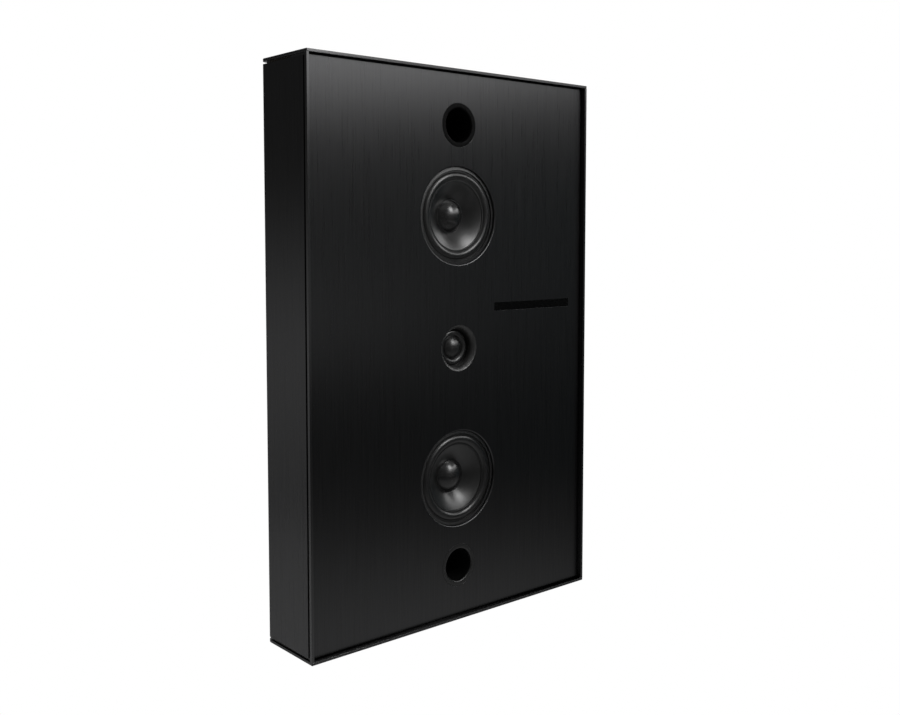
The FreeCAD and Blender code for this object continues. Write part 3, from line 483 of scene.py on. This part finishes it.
def turned(profile, level, x=0.0, steps=160, hexagon=None):
    """Closed profile of radius and depth turned about an axis along Y: x + radius times cos a, depth,
    level + radius times sin a. Rows whose radius is a hexagon's half width follow that hexagon."""
    angle = np.linspace(0, 2 * np.pi, steps, endpoint=False)
    radius = np.repeat(profile[:, :1], steps, axis=1)
    if hexagon is not None:
        flats = 1 / np.cos((angle + np.pi / 6) % (np.pi / 3) - np.pi / 6)
        radius = np.where(np.isclose(radius, hexagon), radius * flats, radius)
    depth = np.repeat(profile[:, 1:2], steps, axis=1)
    points = np.stack([x + radius * np.cos(angle), depth, level + radius * np.sin(angle)], axis=-1)
    return points.reshape(-1, 3), grid_faces(len(profile), steps, True, True)


def stacked(rows):
    """Closed outlines of equal length, one above the other, with flat ends."""
    size = len(rows[0])
    faces = grid_faces(len(rows), size, False, True).tolist()
    faces += [list(range(size)), list(range(size * (len(rows) - 1), size * len(rows)))]
    return np.concatenate(rows), faces


def plated(plan, low, high, ease, steps=5):
    """Plate between two heights. Its plan is a function of the distance into the metal, so that the rows of
    its rounded edges run along a quarter circle at the bottom and at the top, and both faces are flat."""
    inset, rise = rounding(ease, steps)
    rows = [np.insert(plan(d), 2, low + z, axis=1) for d, z in zip(inset, rise)]
    rows += [np.insert(plan(d), 2, high - z, axis=1) for d, z in zip(inset[::-1], rise[::-1])]
    return stacked(rows)


def slab(low, high, ease, steps=5):
    """Box with rounded edges: a sphere of radius ease cut into eight and pulled apart. A point is its
    corner's centre plus ease times a direction given by longitude and latitude."""
    low, high = np.array(low), np.array(high)
    middle, half = (low + high) / 2, (high - low) / 2 - ease
    quarter = np.linspace(0, np.pi / 2, steps + 1)
    longitude = np.concatenate([quarter + turn * np.pi / 2 for turn in range(4)])
    side_x = np.repeat([1, -1, -1, 1], steps + 1)
    side_y = np.repeat([1, 1, -1, -1], steps + 1)
    latitude = np.concatenate([quarter - np.pi / 2, quarter])[:, None]
    side_z = np.repeat([-1, 1], steps + 1)[:, None]
    x = middle[0] + half[0] * side_x + ease * np.cos(latitude) * np.cos(longitude)
    y = middle[1] + half[1] * side_y + ease * np.cos(latitude) * np.sin(longitude)
    z = middle[2] + half[2] * side_z + ease * np.sin(latitude) * np.ones_like(longitude)
    columns = len(longitude)
    poles = [np.tile([middle[0], middle[1], end], (1, columns, 1)) for end in (low[2], high[2])]
    points = np.concatenate([poles[0], np.stack([x, y, z], axis=-1), poles[1]])
    return points.reshape(-1, 3), grid_faces(len(points), columns, False, True)


def pierced(outlines, front, back, steps=8):
    """Flat panel between two depths. Each outline is a function of the distance into the metal, with the
    rounding of its front edge: the edge's rows run along a quarter circle, then straight to the back.
    The first outline is the panel's own; triangles with all corners on one of the others are left out."""
    rows, faces = [], []
    rings = {"front": [], "back": []}
    count = 0
    for outline, ease in outlines:
        inset, depth = rounding(ease, steps)
        levels = zip(np.append(inset, 0.0), np.append(front + depth, back))
        loops = [np.insert(outline(d), 1, y, axis=1) for d, y in levels]
        size = len(loops[0])
        faces.append(grid_faces(len(loops), size, False, True) + count)
        rings["front"].append(np.arange(size) + count)
        rings["back"].append(np.arange(size) + count + size * (len(loops) - 1))
        rows += loops
        count += size * len(loops)
    points = np.concatenate(rows)
    faces = np.concatenate(faces).tolist()
    for loops in rings.values():
        index = np.concatenate(loops)
        starts = np.cumsum([0] + [len(loop) for loop in loops[:-1]])
        edges = [(s + k, s + (k + 1) % len(loop)) for s, loop in zip(starts, loops) for k in range(len(loop))]
        flat = [Vector(spot) for spot in points[index][:, [0, 2]]]
        filled = delaunay_2d_cdt(flat, edges, [], TRIANGLES_INSIDE, MERGE_DISTANCE)
        corners = np.array([original[0] for original in filled[3]])[np.array(filled[2])]
        owner = np.repeat(np.arange(len(loops)), [len(loop) for loop in loops])[corners]
        in_opening = (owner[:, 0] > 0) & (owner == owner[:, :1]).all(axis=1)
        faces += index[corners[~in_opening]].tolist()
    return points, faces


def circle(level, radius, steps=144):
    """Outline of a round opening: distance d into the metal makes its radius larger by d."""
    angle = np.linspace(0, 2 * np.pi, steps, endpoint=False)
    ring = np.column_stack([np.cos(angle), np.sin(angle)])
    return lambda d: ring * (radius + d) + (0.0, level)


def rectangle(low, high, grow):
    """Outline of a rectangle: grow is 1 where the metal lies outside it, and -1 where it lies inside."""
    corners = np.array([(low[0], low[1]), (high[0], low[1]), (high[0], high[1]), (low[0], high[1])])
    outwards = np.array([(-1, -1), (1, -1), (1, 1), (-1, 1)])
    return lambda d: corners + outwards * d * grow


# Pieces


def add_piece(name, shape, node, body="cabinet", finish=None, flat=False):
    """New piece in place of a node: doubles merged so that seams and poles close, faces outwards."""
    slot = slot_of_node[node]
    points, faces = shape
    mesh = bpy.data.meshes.new(name)
    mesh.from_pydata(points, [], faces)
    work = bmesh.new()
    work.from_mesh(mesh)
    bmesh.ops.remove_doubles(work, verts=work.verts, dist=MERGE_DISTANCE)
    bmesh.ops.recalc_face_normals(work, faces=work.faces)
    work.to_mesh(mesh)
    work.free()
    mesh.shade_smooth()
    mesh.set_sharp_from_angle(angle=SHARP_ANGLE)
    mesh.materials.append(finish_of(finish or slot))
    piece = bpy.data.objects.new(name, mesh)
    bpy.context.scene.collection.objects.link(piece)
    if flat:
        even = piece.modifiers.new("Flat faces stay flat", "WEIGHTED_NORMAL")
        even.weight = AREA_ALONE
        even.keep_sharp = True
    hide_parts(node)
    if body:
        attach(piece, body)
    return piece


def smooth_copy(node, finish=None):
    """A node's own form with merged corners, so that its round faces are shaded smoothly."""
    mesh = frame["nodes"][node].data
    points = np.empty(len(mesh.vertices) * 3)
    mesh.vertices.foreach_get("co", points)
    corners = np.empty(len(mesh.loops), dtype=int)
    mesh.loops.foreach_get("vertex_index", corners)
    add_piece(f"{node}_smooth", (points.reshape(-1, 3), corners.reshape(-1, 3)), node, finish=finish)


def level_of(node):
    low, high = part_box(node)
    return (low.z + high.z) / 2


def flex(piece, centre, fixed_radius, moving_radius):
    """Bakes a ring's placement into its mesh and finds each point's radius about the centre; nothing moves
    the points, so the ring doesn't bend with the cone. The fixed and moving radii are not used."""
    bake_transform(piece)
    spots = np.empty(len(piece.data.vertices) * 3)
    piece.data.vertices.foreach_get("co", spots)
    spots = spots.reshape(-1, 3) - np.array(centre)
    radius = np.hypot(spots[:, 0], spots[:, 2])


class SPEAKER_OT_skin(bpy.types.Operator):
    """Adds the metal skin: end plates, front uprights and folded side panels"""

    bl_idname = "speaker.skin"
    bl_label = "Metal Skin"

    def end_plate(self, sizes, node):
        """Plate with small corners at the front, and corners that follow the fold at the rear."""
        low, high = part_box(node)
        ease, fold = sizes.edge_round, sizes.fold_radius

        def plan(d):
            corners = [
                (high.x - d, low.y + d, 2 * ease - d),
                (high.x - d, high.y - d, fold - d),
                (low.x + d, high.y - d, fold - d),
                (low.x + d, low.y + d, 2 * ease - d),
            ]
            return eased(corners, 10)

        shape = plated(plan, low.z, high.z, ease)
        add_piece(f"{node}_metal", shape, node, finish="level_aluminium", flat=True)

    def upright(self, sizes, outer, inner, front, back):
        """Lip with a narrower web behind it, which leaves the shadow groove."""
        ease, web, lip_back = sizes.edge_round, outer - sizes.side_sheet, front + sizes.lip_depth
        return [
            (outer, front, ease),
            (outer, lip_back, ease),
            (web, lip_back, 0),
            (web, back, 0),
            (inner, back, 0),
            (inner, front, ease),
        ]

    def side_panel(self, sizes, outer, inner, front, back):
        """Sheet that is folded round at the rear."""
        ease, fold, sheet = sizes.edge_round, sizes.fold_radius, sizes.side_sheet
        return [
            (outer, front, ease),
            (outer, back, fold),
            (inner, back, ease),
            (inner, back - sheet, ease),
            (outer - sheet, back - sheet, fold - sheet),
            (outer - sheet, front, ease),
        ]

    def drawn_up(self, sizes, node, turn, corners_of, finish=None):
        """Outline carried straight up the height of a node. Turn is -1 on the left."""
        low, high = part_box(node)
        inner, outer = sorted((abs(low.x), abs(high.x)))
        outline = eased(corners_of(sizes, outer, inner, low.y, high.y)) * (turn, 1)
        shape = stacked([np.insert(outline, 2, z, axis=1) for z in (low.z, high.z)])
        add_piece(f"{node}_metal", shape, node, finish=finish, flat=True)

    def execute(self, context):
        sizes = context.scene.speaker_cabinet
        self.end_plate(sizes, "top_plate")
        self.end_plate(sizes, "bottom_plate")
        for side, turn in (("right", 1), ("left", -1)):
            # The lip's finish carries a painted highlight: its metal is lighter than the panel's.
            self.drawn_up(sizes, f"{side}_upright", turn, self.upright, "lip_aluminium")
            self.drawn_up(sizes, f"{side}_side_panel", turn, self.side_panel)
        return {"FINISHED"}


class SPEAKER_OT_front(bpy.types.Operator):
    """Adds the pierced front panel and the glossy strip let into it"""

    bl_idname = "speaker.front"
    bl_label = "Front Panel"

    def execute(self, context):
        sizes = context.scene.speaker_cabinet
        low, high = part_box("front_panel")
        strip_low, strip_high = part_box("strip_insert")
        fit = sizes.strip_fit
        slot_low = (strip_low.x - fit, strip_low.z - fit)
        slot_high = (strip_high.x + fit, strip_high.z + fit)
        outlines = [
            (rectangle((low.x, low.z), (high.x, high.z), -1), sizes.edge_round),
            (rectangle(slot_low, slot_high, 1), sizes.hole_round),
            (circle(level_of("tweeter_dome"), sizes.tweeter_hole_radius), sizes.hole_round),
        ]
        for where in WHERE:
            woofer = level_of(f"{where}_woofer_dust_cap")
            outlines.append((circle(woofer, sizes.opening_radius), sizes.opening_round))
            outlines.append((circle(level_of(f"{where}_port"), sizes.port_hole_radius), sizes.hole_round))
        add_piece("front_panel_metal", pierced(outlines, low.y, high.y), "front_panel", flat=True)
        add_piece("strip_gloss", slab(strip_low, strip_high, sizes.hole_round), "strip_insert", flat=True)
        return {"FINISHED"}


class SPEAKER_OT_woofers(bpy.types.Operator):
    """Adds both woofers: basket, surround, cone, dust cap and spider"""

    bl_idname = "speaker.woofers"
    bl_label = "Woofers"

    def surround(self, sizes, where, level):
        """Two flat lands joined by a roll of constant wall. The roll is an arc of radius (half the width
        squared + height squared) / twice the height; each face meets its land where that arc, half a wall
        larger or smaller, has dropped by the height. A quarter circle rounds the inner edge."""
        node = f"{where}_woofer_surround"
        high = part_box(node)[1]
        wall = sizes.surround_wall
        face, back = high.y - wall, high.y
        centre, height = sizes.cone_radius + sizes.roll_width / 2, sizes.roll_height
        radius = ((sizes.roll_width / 2) ** 2 + height**2) / (2 * height)
        arc = []
        for offset, base in ((wall / 2, face), (-wall / 2, back)):
            foot = math.sqrt((radius + offset) ** 2 - (radius - height + offset) ** 2)
            arc.append(bow((centre + foot, base), (centre - foot, base), height))
        land = sizes.cone_radius - sizes.land_width
        edge = np.column_stack(rounding(sizes.land_round, 6)) + (land, face)
        rim = [(high.x, back), (high.x, face)]
        profile = np.concatenate([rim, arc[0], edge, [(land, back)], arc[1][::-1]])
        piece = add_piece(f"{node}_rubber", turned(profile, level), node, body=None)
        middle = Vector((0.0, face, level))
        flex(piece, middle, sizes.cone_radius + sizes.roll_width, sizes.cone_radius)

    def cone(self, sizes, where, level):
        """Flat lip under the surround, then a line that bows towards the front down to the neck."""
        node = f"{where}_woofer_cone"
        low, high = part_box(node)
        wall = sizes.cone_wall
        edge = sizes.cone_radius - sizes.land_width
        front = bow((edge, low.y), (sizes.neck_radius, high.y - wall), sizes.cone_flare, 40)
        front = np.concatenate([[(sizes.cone_radius, low.y)], front])
        profile = np.concatenate([front, (front + (0.0, wall))[::-1]])
        add_piece(f"{node}_pulp", turned(profile, level), node, f"{where}_cone")

    def dust_cap(self, sizes, where, level):
        """Spherical cap with a narrow flat lip, as a shell of constant wall."""
        node = f"{where}_woofer_dust_cap"
        low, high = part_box(node)
        wall = sizes.cap_wall
        foot = high.x - sizes.cap_lip
        height = high.y - low.y - wall / 2
        sphere = (foot**2 + height**2) / (2 * height)
        outside = cap_of(sphere, foot, low.y, 30)
        inner_foot = math.sqrt((sphere - wall) ** 2 - (sphere - height) ** 2)
        inside = cap_of(sphere - wall, inner_foot, low.y + wall, 30)[::-1]
        lip = [(high.x, low.y + height), (high.x, high.y), (inner_foot, high.y)]
        profile = np.concatenate([outside, lip, inside])
        add_piece(f"{node}_shell", turned(profile, level), node, f"{where}_cone")

    def spider(self, sizes, where, level):
        """Cloth disc with waves: its depth follows a sine of the radius between a flat collar and rim."""
        node = f"{where}_woofer_spider"
        low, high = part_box(node)
        wall = sizes.spider_wall
        middle = (low.y + high.y) / 2
        first = sizes.coil_radius + sizes.coil_gap
        start, end = first + sizes.spider_collar, high.x - sizes.spider_rim
        radius = np.linspace(start, end, 16 * sizes.spider_waves + 1)
        wave = sizes.spider_wave * np.sin((radius - start) / (end - start) * 2 * np.pi * sizes.spider_waves)
        line = np.column_stack([radius, wave])
        line = np.concatenate([[(first, 0.0)], line, [(high.x, 0.0)]]) + (0.0, middle)
        profile = np.concatenate([line - (0.0, wall / 2), (line + (0.0, wall / 2))[::-1]])
        piece = add_piece(f"{node}_cloth", turned(profile, level), node, body=None)
        flex(piece, Vector((0.0, middle, level)), end, start)

    def execute(self, context):
        sizes = context.scene.speaker_woofer
        for where in WHERE:
            level = level_of(f"{where}_woofer_dust_cap")
            smooth_copy(f"{where}_woofer_basket")
            self.surround(sizes, where, level)
            self.cone(sizes, where, level)
            self.dust_cap(sizes, where, level)
            self.spider(sizes, where, level)
        return {"FINISHED"}


class SPEAKER_OT_tweeter(bpy.types.Operator):
    """Adds the tweeter's dished faceplate and its dome with the roll round it"""

    bl_idname = "speaker.tweeter"
    bl_label = "Tweeter"

    def execute(self, context):
        sizes = context.scene.speaker_tweeter
        smooth_copy("tweeter_faceplate", "faceplate_plastic")
        low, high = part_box("tweeter_dome")
        wall = sizes.membrane_wall
        face = high.y - wall
        height = face - low.y
        sphere = (sizes.dome_radius**2 + height**2) / (2 * height)
        dome = cap_of(sphere, sizes.dome_radius, low.y, 40)
        foot = (sizes.dome_radius + sizes.roll_width, face)
        roll = bow((sizes.dome_radius, face), foot, -sizes.roll_height, 40)
        front = np.concatenate([dome, roll[1:], [(high.x, face)]])
        profile = np.concatenate([front, [(high.x, high.y)], (front[:-1] + (0.0, wall))[::-1]])
        add_piece("tweeter_dome_cloth", turned(profile, level_of("tweeter_dome")), "tweeter_dome")
        return {"FINISHED"}


PORT_TAIL = 0.999  # share of half the wall that its end's rounding takes


class SPEAKER_OT_ports(bpy.types.Operator):
    """Adds both port tubes with their flush flanges and rounded mouths"""

    bl_idname = "speaker.ports"
    bl_label = "Ports"

    def execute(self, context):
        sizes = context.scene.speaker_port
        edge = context.scene.speaker_cabinet.hole_round
        bore, tube = sizes.bore_radius, sizes.bore_radius + sizes.wall
        tail = sizes.wall / 2 * PORT_TAIL
        # The upper port takes the darker copy of the plastic with its reflection taken out: painted shade.
        for where, finish in zip(WHERE, ("flat_plastic", "black_plastic")):
            node = f"{where}_port"
            low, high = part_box(node)
            corners = [
                (high.x, low.y, edge),
                (high.x, low.y + sizes.flange_depth, 0),
                (tube, low.y + sizes.flange_depth, 0),
                (tube, high.y, tail),
                (bore, high.y, tail),
                (bore, low.y, sizes.mouth_round),
            ]
            add_piece(f"{node}_tube", turned(eased(corners, 10), level_of(node)), node, finish=finish)
        return {"FINISHED"}


def solid_boxes(node):
    """Lowest and highest corner of each separate solid of a node."""
    work = bmesh.new()
    work.from_mesh(frame["nodes"][node].data)
    bmesh.ops.remove_doubles(work, verts=work.verts, dist=MERGE_DISTANCE)
    left = set(work.verts)
    boxes = []
    while left:
        island = {left.pop()}
        edge = list(island)
        while edge:
            near = {other for link in edge.pop().link_edges for other in link.verts} - island
            island |= near
            edge += near
        left -= island
        spots = np.array([vertex.co for vertex in island])
        boxes.append((spots.min(0), spots.max(0)))
    work.free()
    return sorted(boxes, key=lambda box: box[0].tolist())


HEAD_ROUND = 0.6  # share of a screw head's height
HEX_MOUTH = 1.2  # share of the hexagon's half width
HEX_SINK = 0.0001
BUMPER_TIP = 0.8  # share of the foot's radius
DIMPLE_MOUTH, DIMPLE_END = 0.55, 0.35  # shares of the tip's radius
DIMPLE_DEPTH, DIMPLE_ROUND = 0.002, 0.001
CUP_FLOOR = 0.002
TAIL_RADIUS, TAIL_ROUND = 0.002, 0.0004
POST_ROUND, TIP_ROUND, BORE_ROUND = 0.0003, 0.0008, 0.0005
GROOVE_START, GROOVE_END, BORE_END = 0.005, 0.006, 0.002  # above the cup's floor
GROOVE_SHARE, GROOVE_ROUND = 0.82, 0.0002


class SPEAKER_OT_rear(bpy.types.Operator):
    """Adds what shows at the rear: screws, bumpers, terminal cup and sockets"""

    bl_idname = "speaker.rear"
    bl_label = "Rear Fittings"

    def screw(self, sizes, radius, start, top):
        """Low round head with a hexagon socket, turned in one with its shank."""
        base, floor = top - sizes.screw_head_height, top - sizes.hex_depth
        return [
            (0.0, start, 0),
            (sizes.screw_radius, start, 0),
            (sizes.screw_radius, base, 0),
            (radius, base, 0),
            (radius, top, sizes.screw_head_height * HEAD_ROUND),
            (sizes.hex_size * HEX_MOUTH, top, 0),
            (sizes.hex_size, top - HEX_SINK, 0),
            (sizes.hex_size, floor, 0),
            (0.0, floor, 0),
        ]

    def bumper(self, sizes, radius, start, top):
        """Tapered foot with a rounded tip and a shallow dimple in it."""
        tip = radius * BUMPER_TIP
        return [
            (0.0, start, 0),
            (radius, start, 0),
            (tip, top, sizes.bumper_round),
            (tip * DIMPLE_MOUTH, top, DIMPLE_ROUND),
            (tip * DIMPLE_END, top - DIMPLE_DEPTH, DIMPLE_ROUND),
            (0.0, top - DIMPLE_DEPTH, 0),
        ]

    def socket(self, sizes, radius, start, top):
        """Post with a groove and a bore for a plug, in one with its tail."""
        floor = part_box("terminal_cup")[0].y + CUP_FLOOR
        return [
            (0.0, start, 0),
            (TAIL_RADIUS, start, TAIL_ROUND),
            (TAIL_RADIUS, floor, 0),
            (radius, floor, POST_ROUND),
            (radius, floor + GROOVE_START, POST_ROUND),
            (radius * GROOVE_SHARE, floor + GROOVE_START, GROOVE_ROUND),
            (radius * GROOVE_SHARE, floor + GROOVE_END, GROOVE_ROUND),
            (radius, floor + GROOVE_END, POST_ROUND),
            (radius, top, TIP_ROUND),
            (sizes.socket_bore, top, BORE_ROUND),
            (sizes.socket_bore, floor + BORE_END, 0),
            (0.0, floor + BORE_END, 0),
        ]

    def fittings(self, sizes, node, ending, corners_of, steps, hexagon=None):
        """One piece for all the solids of a node, each turned about the middle of its own box."""
        points, faces, count = [], [], 0
        for low, high in solid_boxes(node):
            x, _, level = (low + high) / 2
            profile = eased(corners_of(sizes, (high[0] - low[0]) / 2, low[1], high[1]))
            spots, quads = turned(profile, level, x, steps, hexagon)
            points.append(spots)
            faces.append(quads + count)
            count += len(spots)
        add_piece(f"{node}_{ending}", (np.concatenate(points), np.concatenate(faces)), node)

    def execute(self, context):
        sizes = context.scene.speaker_rear
        self.fittings(sizes, "rear_screws", "turned", self.screw, 48, sizes.hex_size)
        self.fittings(sizes, "wall_bumpers", "rubber", self.bumper, 96)
        self.fittings(sizes, "terminal_sockets", "gilt", self.socket, 96)
        smooth_copy("terminal_cup")
        return {"FINISHED"}


class SPEAKER_OT_finishes(bpy.types.Operator):
    """Gives every piece of the frame that still shows the finish of its slot"""

    bl_idname = "speaker.finishes"
    bl_label = "Finishes"

    def execute(self, context):
        for node, piece in frame["nodes"].items():
            if piece.hide_render:
                continue
            piece.data.materials.clear()
            piece.data.materials.append(finish_of(slot_of_node[node]))
        return {"FINISHED"}


# Studio

PALE = (0.86, 0.86, 0.86, 1.0)
GREY_SKY = (0.45, 0.45, 0.45, 1.0)
COOL_WHITE = (0.7, 0.92, 1.0, 1.0)
FLOOR_ANGLES = np.linspace(0, 2 * np.pi, 97)
FLOOR_RINGS = (0.0, 1.0, 3.0, 40.0)
CARD_ANGLES = np.radians(np.linspace(-80, 110, 60))
CARD_RINGS = (0.0, 0.3, 0.7, 1.2)
TENT_ANGLES = np.radians(np.linspace(-178, 105, 110))
TENT_ROWS = (-0.4, 0.0, 0.6, 1.4)


def around(angle, radii, heights):
    """Sheet about the Z axis, with a row for each radius and height: x = radius times sin a, y = -radius
    times cos a."""
    radius, height = np.array(radii)[:, None], np.array(heights)[:, None]
    points = np.stack([radius * np.sin(angle), -radius * np.cos(angle), height + 0 * angle], axis=-1)
    return points.reshape(-1, 3), grid_faces(len(radii), len(angle))


def glow(name, strength, shade=None):
    """Material that only gives light: strength and shade are functions of x, y and z."""
    finish = Finish(name)
    axes = [finish.place.part(axis) for axis in range(3)]
    colour = shade(*axes) if shade else WHITE
    inputs = {"Color": colour, "Strength": strength(*axes)}
    return finish.show(finish.wire.node("ShaderNodeEmission", {}, inputs))


class SPEAKER_OT_stage(bpy.types.Operator):
    """Adds the camera, the pale floor, the dark tent and the soft lights"""

    bl_idname = "speaker.stage"
    bl_label = "Stage"

    def card(self, name, shape, material, seen=False):
        """Part of the studio. What the camera doesn't see still gives light and is reflected."""
        mesh = bpy.data.meshes.new(name)
        mesh.from_pydata(shape[0], [], shape[1])
        mesh.materials.append(material)
        piece = bpy.data.objects.new(name, mesh)
        bpy.context.scene.collection.objects.link(piece)
        piece.visible_camera = seen
        return piece

    def floor(self, stage):
        """Wide disc whose pale paint turns into plain white far from the object."""
        finish = Finish("pale_floor")
        wire = finish.wire
        far = wire.node("ShaderNodeVectorMath", {"operation": "LENGTH"}, {0: finish.place}, 1)
        seen_far = far.between(0.95, 1.25) * wire.ray("Camera")
        paint = wire.node("ShaderNodeBsdfDiffuse", {}, {"Color": PALE})
        white = wire.node("ShaderNodeEmission", {}, {"Color": WHITE, "Strength": 1.0})
        mixed = wire.node("ShaderNodeMixShader", {}, {0: seen_far, 1: paint, 2: white})
        shape = around(FLOOR_ANGLES, FLOOR_RINGS, [stage.floor_level] * len(FLOOR_RINGS))
        self.card("floor", shape, finish.show(mixed), seen=True)

    def tent(self, stage):
        """Dark cloth round the front, closed by a roof. At the front a bright band runs high up, over a dim
        wall with a faint patch low down; the rear is darker towards the top."""

        def strength_at(x, y, z):
            rising = (z - 0.3 * x.between(1.6, 2.1)).between(0.53, 0.72)
            band = 2.35 * rising * x.between(-0.6, 0.8) + 2.5 * z.between(0.62, 0.85) * x.between(1.5, 2.0)
            edge = (z - 0.3 * x.between(1.3, 1.9)).between(-0.5, -0.2)
            wall = 0.08 + 0.115 * edge * (1.0 - 0.7 * x.between(1.3, 2.3))
            across = x.between(-0.6, 0.3) * (1.0 - x.between(0.9, 1.5))
            patch = 0.35 * z.between(-0.42, -0.27) * (1.0 - z.between(-0.15, 0.1)) * across
            front = wall + patch + band * (1.0 - z.between(1.2, 1.5)) + 0.3 * z.between(1.5, 2.2)
            rear = 0.42 + 0.17 * z.between(-0.8, -0.3) - 0.47 * z.between(-0.3, 0.4)
            behind = y.between(-0.3, 0.8)
            return front + (rear - front) * behind

        def shade_at(x, y, z):
            blue = x.between(1.4, 2.3) * (1.0 - z.between(0.3, 0.6))
            return blue.mix(WHITE, COOL_WHITE)

        heights = [stage.floor_level, *TENT_ROWS, stage.tent_height, stage.tent_height]
        radii = [stage.tent_radius] * (len(heights) - 1) + [0.0]
        self.card("tent", around(TENT_ANGLES, radii, heights), glow("tent_cloth", strength_at, shade_at))

    def floor_card(self, stage):
        """Pale card in front, a little below the cabinet: it is seen in gloss alone, darker farther away."""

        def strength_at(x, y, z):
            far = z.math("SQRT", x * x + y * y)
            return 0.47 - 0.35 * far.between(0.15, 1.1)

        shape = around(CARD_ANGLES, CARD_RINGS, [stage.card_level] * len(CARD_RINGS))
        card = self.card("floor_card", shape, glow("grey_paper", strength_at))
        card.visible_diffuse = False
        card.visible_shadow = False
        card.visible_transmission = False

    def softbox(self, name, place, aim, width, height, strength):
        """Flat card that faces its aim, brightest in the middle and soft towards its edge."""
        place, aim = Vector(place), Vector(aim)
        back = (place - aim).normalized()
        right = Vector((0.0, 0.0, 1.0)).cross(back).normalized()
        up = back.cross(right)
        share = np.linspace(-0.5, 0.5, 9)
        u, v = np.meshgrid(share * width, share * height, indexing="xy")
        points = np.array(place) + u[..., None] * np.array(right) + v[..., None] * np.array(up)

        def strength_at(x, y, z):
            across = (x - place.x) * right.x + (y - place.y) * right.y + (z - place.z) * right.z
            along = (x - place.x) * up.x + (y - place.y) * up.y + (z - place.z) * up.z
            wide = 1.0 - (across * across * (4 / width**2)).between(0.4, 1.0)
            tall = 1.0 - (along * along * (4 / height**2)).between(0.6, 1.0)
            return wide * tall * strength

        self.card(name, (points.reshape(-1, 3), grid_faces(9, 9)), glow(name, strength_at))

    def lamp(self, name, place, aim, size, power):
        """Round lamp that gives light without showing in gloss."""
        light = bpy.data.lights.new(name, "AREA")
        light.shape = "DISK"
        light.size = size
        light.energy = power
        lamp = bpy.data.objects.new(name, light)
        lamp.location = place
        lamp.rotation_euler = (Vector(aim) - Vector(place)).to_track_quat("-Z", "Y").to_euler()
        lamp.visible_camera = False
        lamp.visible_glossy = False
        bpy.context.scene.collection.objects.link(lamp)

    def world(self):
        """White to the eye, in reflections and through glass, and a plain grey sky as light."""
        world = bpy.data.worlds.new("studio")
        world.use_nodes = True
        wire = Wire(world.node_tree)
        seen = wire.math("MAXIMUM", wire.ray("Camera"), wire.ray("Glossy"))
        seen = wire.math("MAXIMUM", seen, wire.ray("Transmission"))
        background = wire.tree.nodes["Background"]
        wire.tree.links.new(seen.mix(GREY_SKY, WHITE).socket, background.inputs["Color"])
        bpy.context.scene.world = world

    def camera(self, stage):
        """View turned by yaw to the right and tilted by pitch downwards."""
        camera = bpy.data.cameras.new("camera")
        camera.sensor_width = 36.0
        camera.lens = stage.camera_lens
        camera.shift_y = stage.camera_rise
        camera.clip_start = 0.01
        camera.clip_end = 100.0
        eye = bpy.data.objects.new("camera", camera)
        yaw, pitch = stage.camera_yaw, stage.camera_pitch
        level = math.cos(pitch)
        forward = Vector((math.sin(yaw) * level, math.cos(yaw) * level, -math.sin(pitch)))
        eye.location = stage.camera_place
        eye.rotation_euler = forward.to_track_quat("-Z", "Y").to_euler()
        bpy.context.scene.collection.objects.link(eye)
        bpy.context.scene.camera = eye

    def execute(self, context):
        stage = context.scene.speaker_stage
        self.camera(stage)
        self.world()
        self.floor(stage)
        self.tent(stage)
        self.floor_card(stage)
        self.softbox(
            "key_softbox",
            place=(0.74, -1.83, 1.28),
            aim=(0.0, -0.1, 0.1),
            width=0.8,
            height=0.9,
            strength=stage.key_strength,
        )
        self.lamp("side_lamp", place=(-1.3, 0.6, 1.9), aim=(-1.3, 0.4, -0.9), size=1.2, power=18.0)
        self.lamp("rear_lamp", place=(0.9, 1.6, 1.3), aim=(0.0, 0.0, 0.0), size=0.8, power=40.0)
        context.scene.view_settings.view_transform = "Standard"
        return {"FINISHED"}


class SPEAKER_PT_panel(bpy.types.Panel):
    """Lists the steps that dress the loudspeaker"""

    bl_label = "Loudspeaker"
    bl_idname = "SPEAKER_PT_panel"
    bl_space_type = "VIEW_3D"
    bl_region_type = "UI"
    bl_category = "Loudspeaker"

    def draw(self, context):
        for step in steps:
            self.layout.operator(step.bl_idname)
        for name in settings:
            group = getattr(context.scene, name)
            box = self.layout.box()
            for key in group.__annotations__:
                box.prop(group, key)


settings = {
    "speaker_cabinet": CabinetSizes,
    "speaker_woofer": WooferSizes,
    "speaker_tweeter": TweeterSizes,
    "speaker_port": PortSizes,
    "speaker_rear": RearSizes,
    "speaker_colours": Colours,
    "speaker_stage": StageSettings,
}
steps = (
    SPEAKER_OT_skin,
    SPEAKER_OT_front,
    SPEAKER_OT_woofers,
    SPEAKER_OT_tweeter,
    SPEAKER_OT_ports,
    SPEAKER_OT_rear,
    SPEAKER_OT_finishes,
    SPEAKER_OT_stage,
)


def register():
    for name, group in settings.items():
        bpy.utils.register_class(group)
        setattr(bpy.types.Scene, name, PointerProperty(type=group))
    for step in steps + (SPEAKER_PT_panel,):
        bpy.utils.register_class(step)


def unregister():
    for step in reversed(steps + (SPEAKER_PT_panel,)):
        bpy.utils.unregister_class(step)
    for name, group in settings.items():
        delattr(bpy.types.Scene, name)
        bpy.utils.unregister_class(group)


def main():
    register()
    bpy.ops.speaker.skin()
    bpy.ops.speaker.front()
    bpy.ops.speaker.woofers()
    bpy.ops.speaker.tweeter()
    bpy.ops.speaker.ports()
    bpy.ops.speaker.rear()
    bpy.ops.speaker.finishes()
    bpy.ops.speaker.stage()


if __name__ == "__main__":
    main()
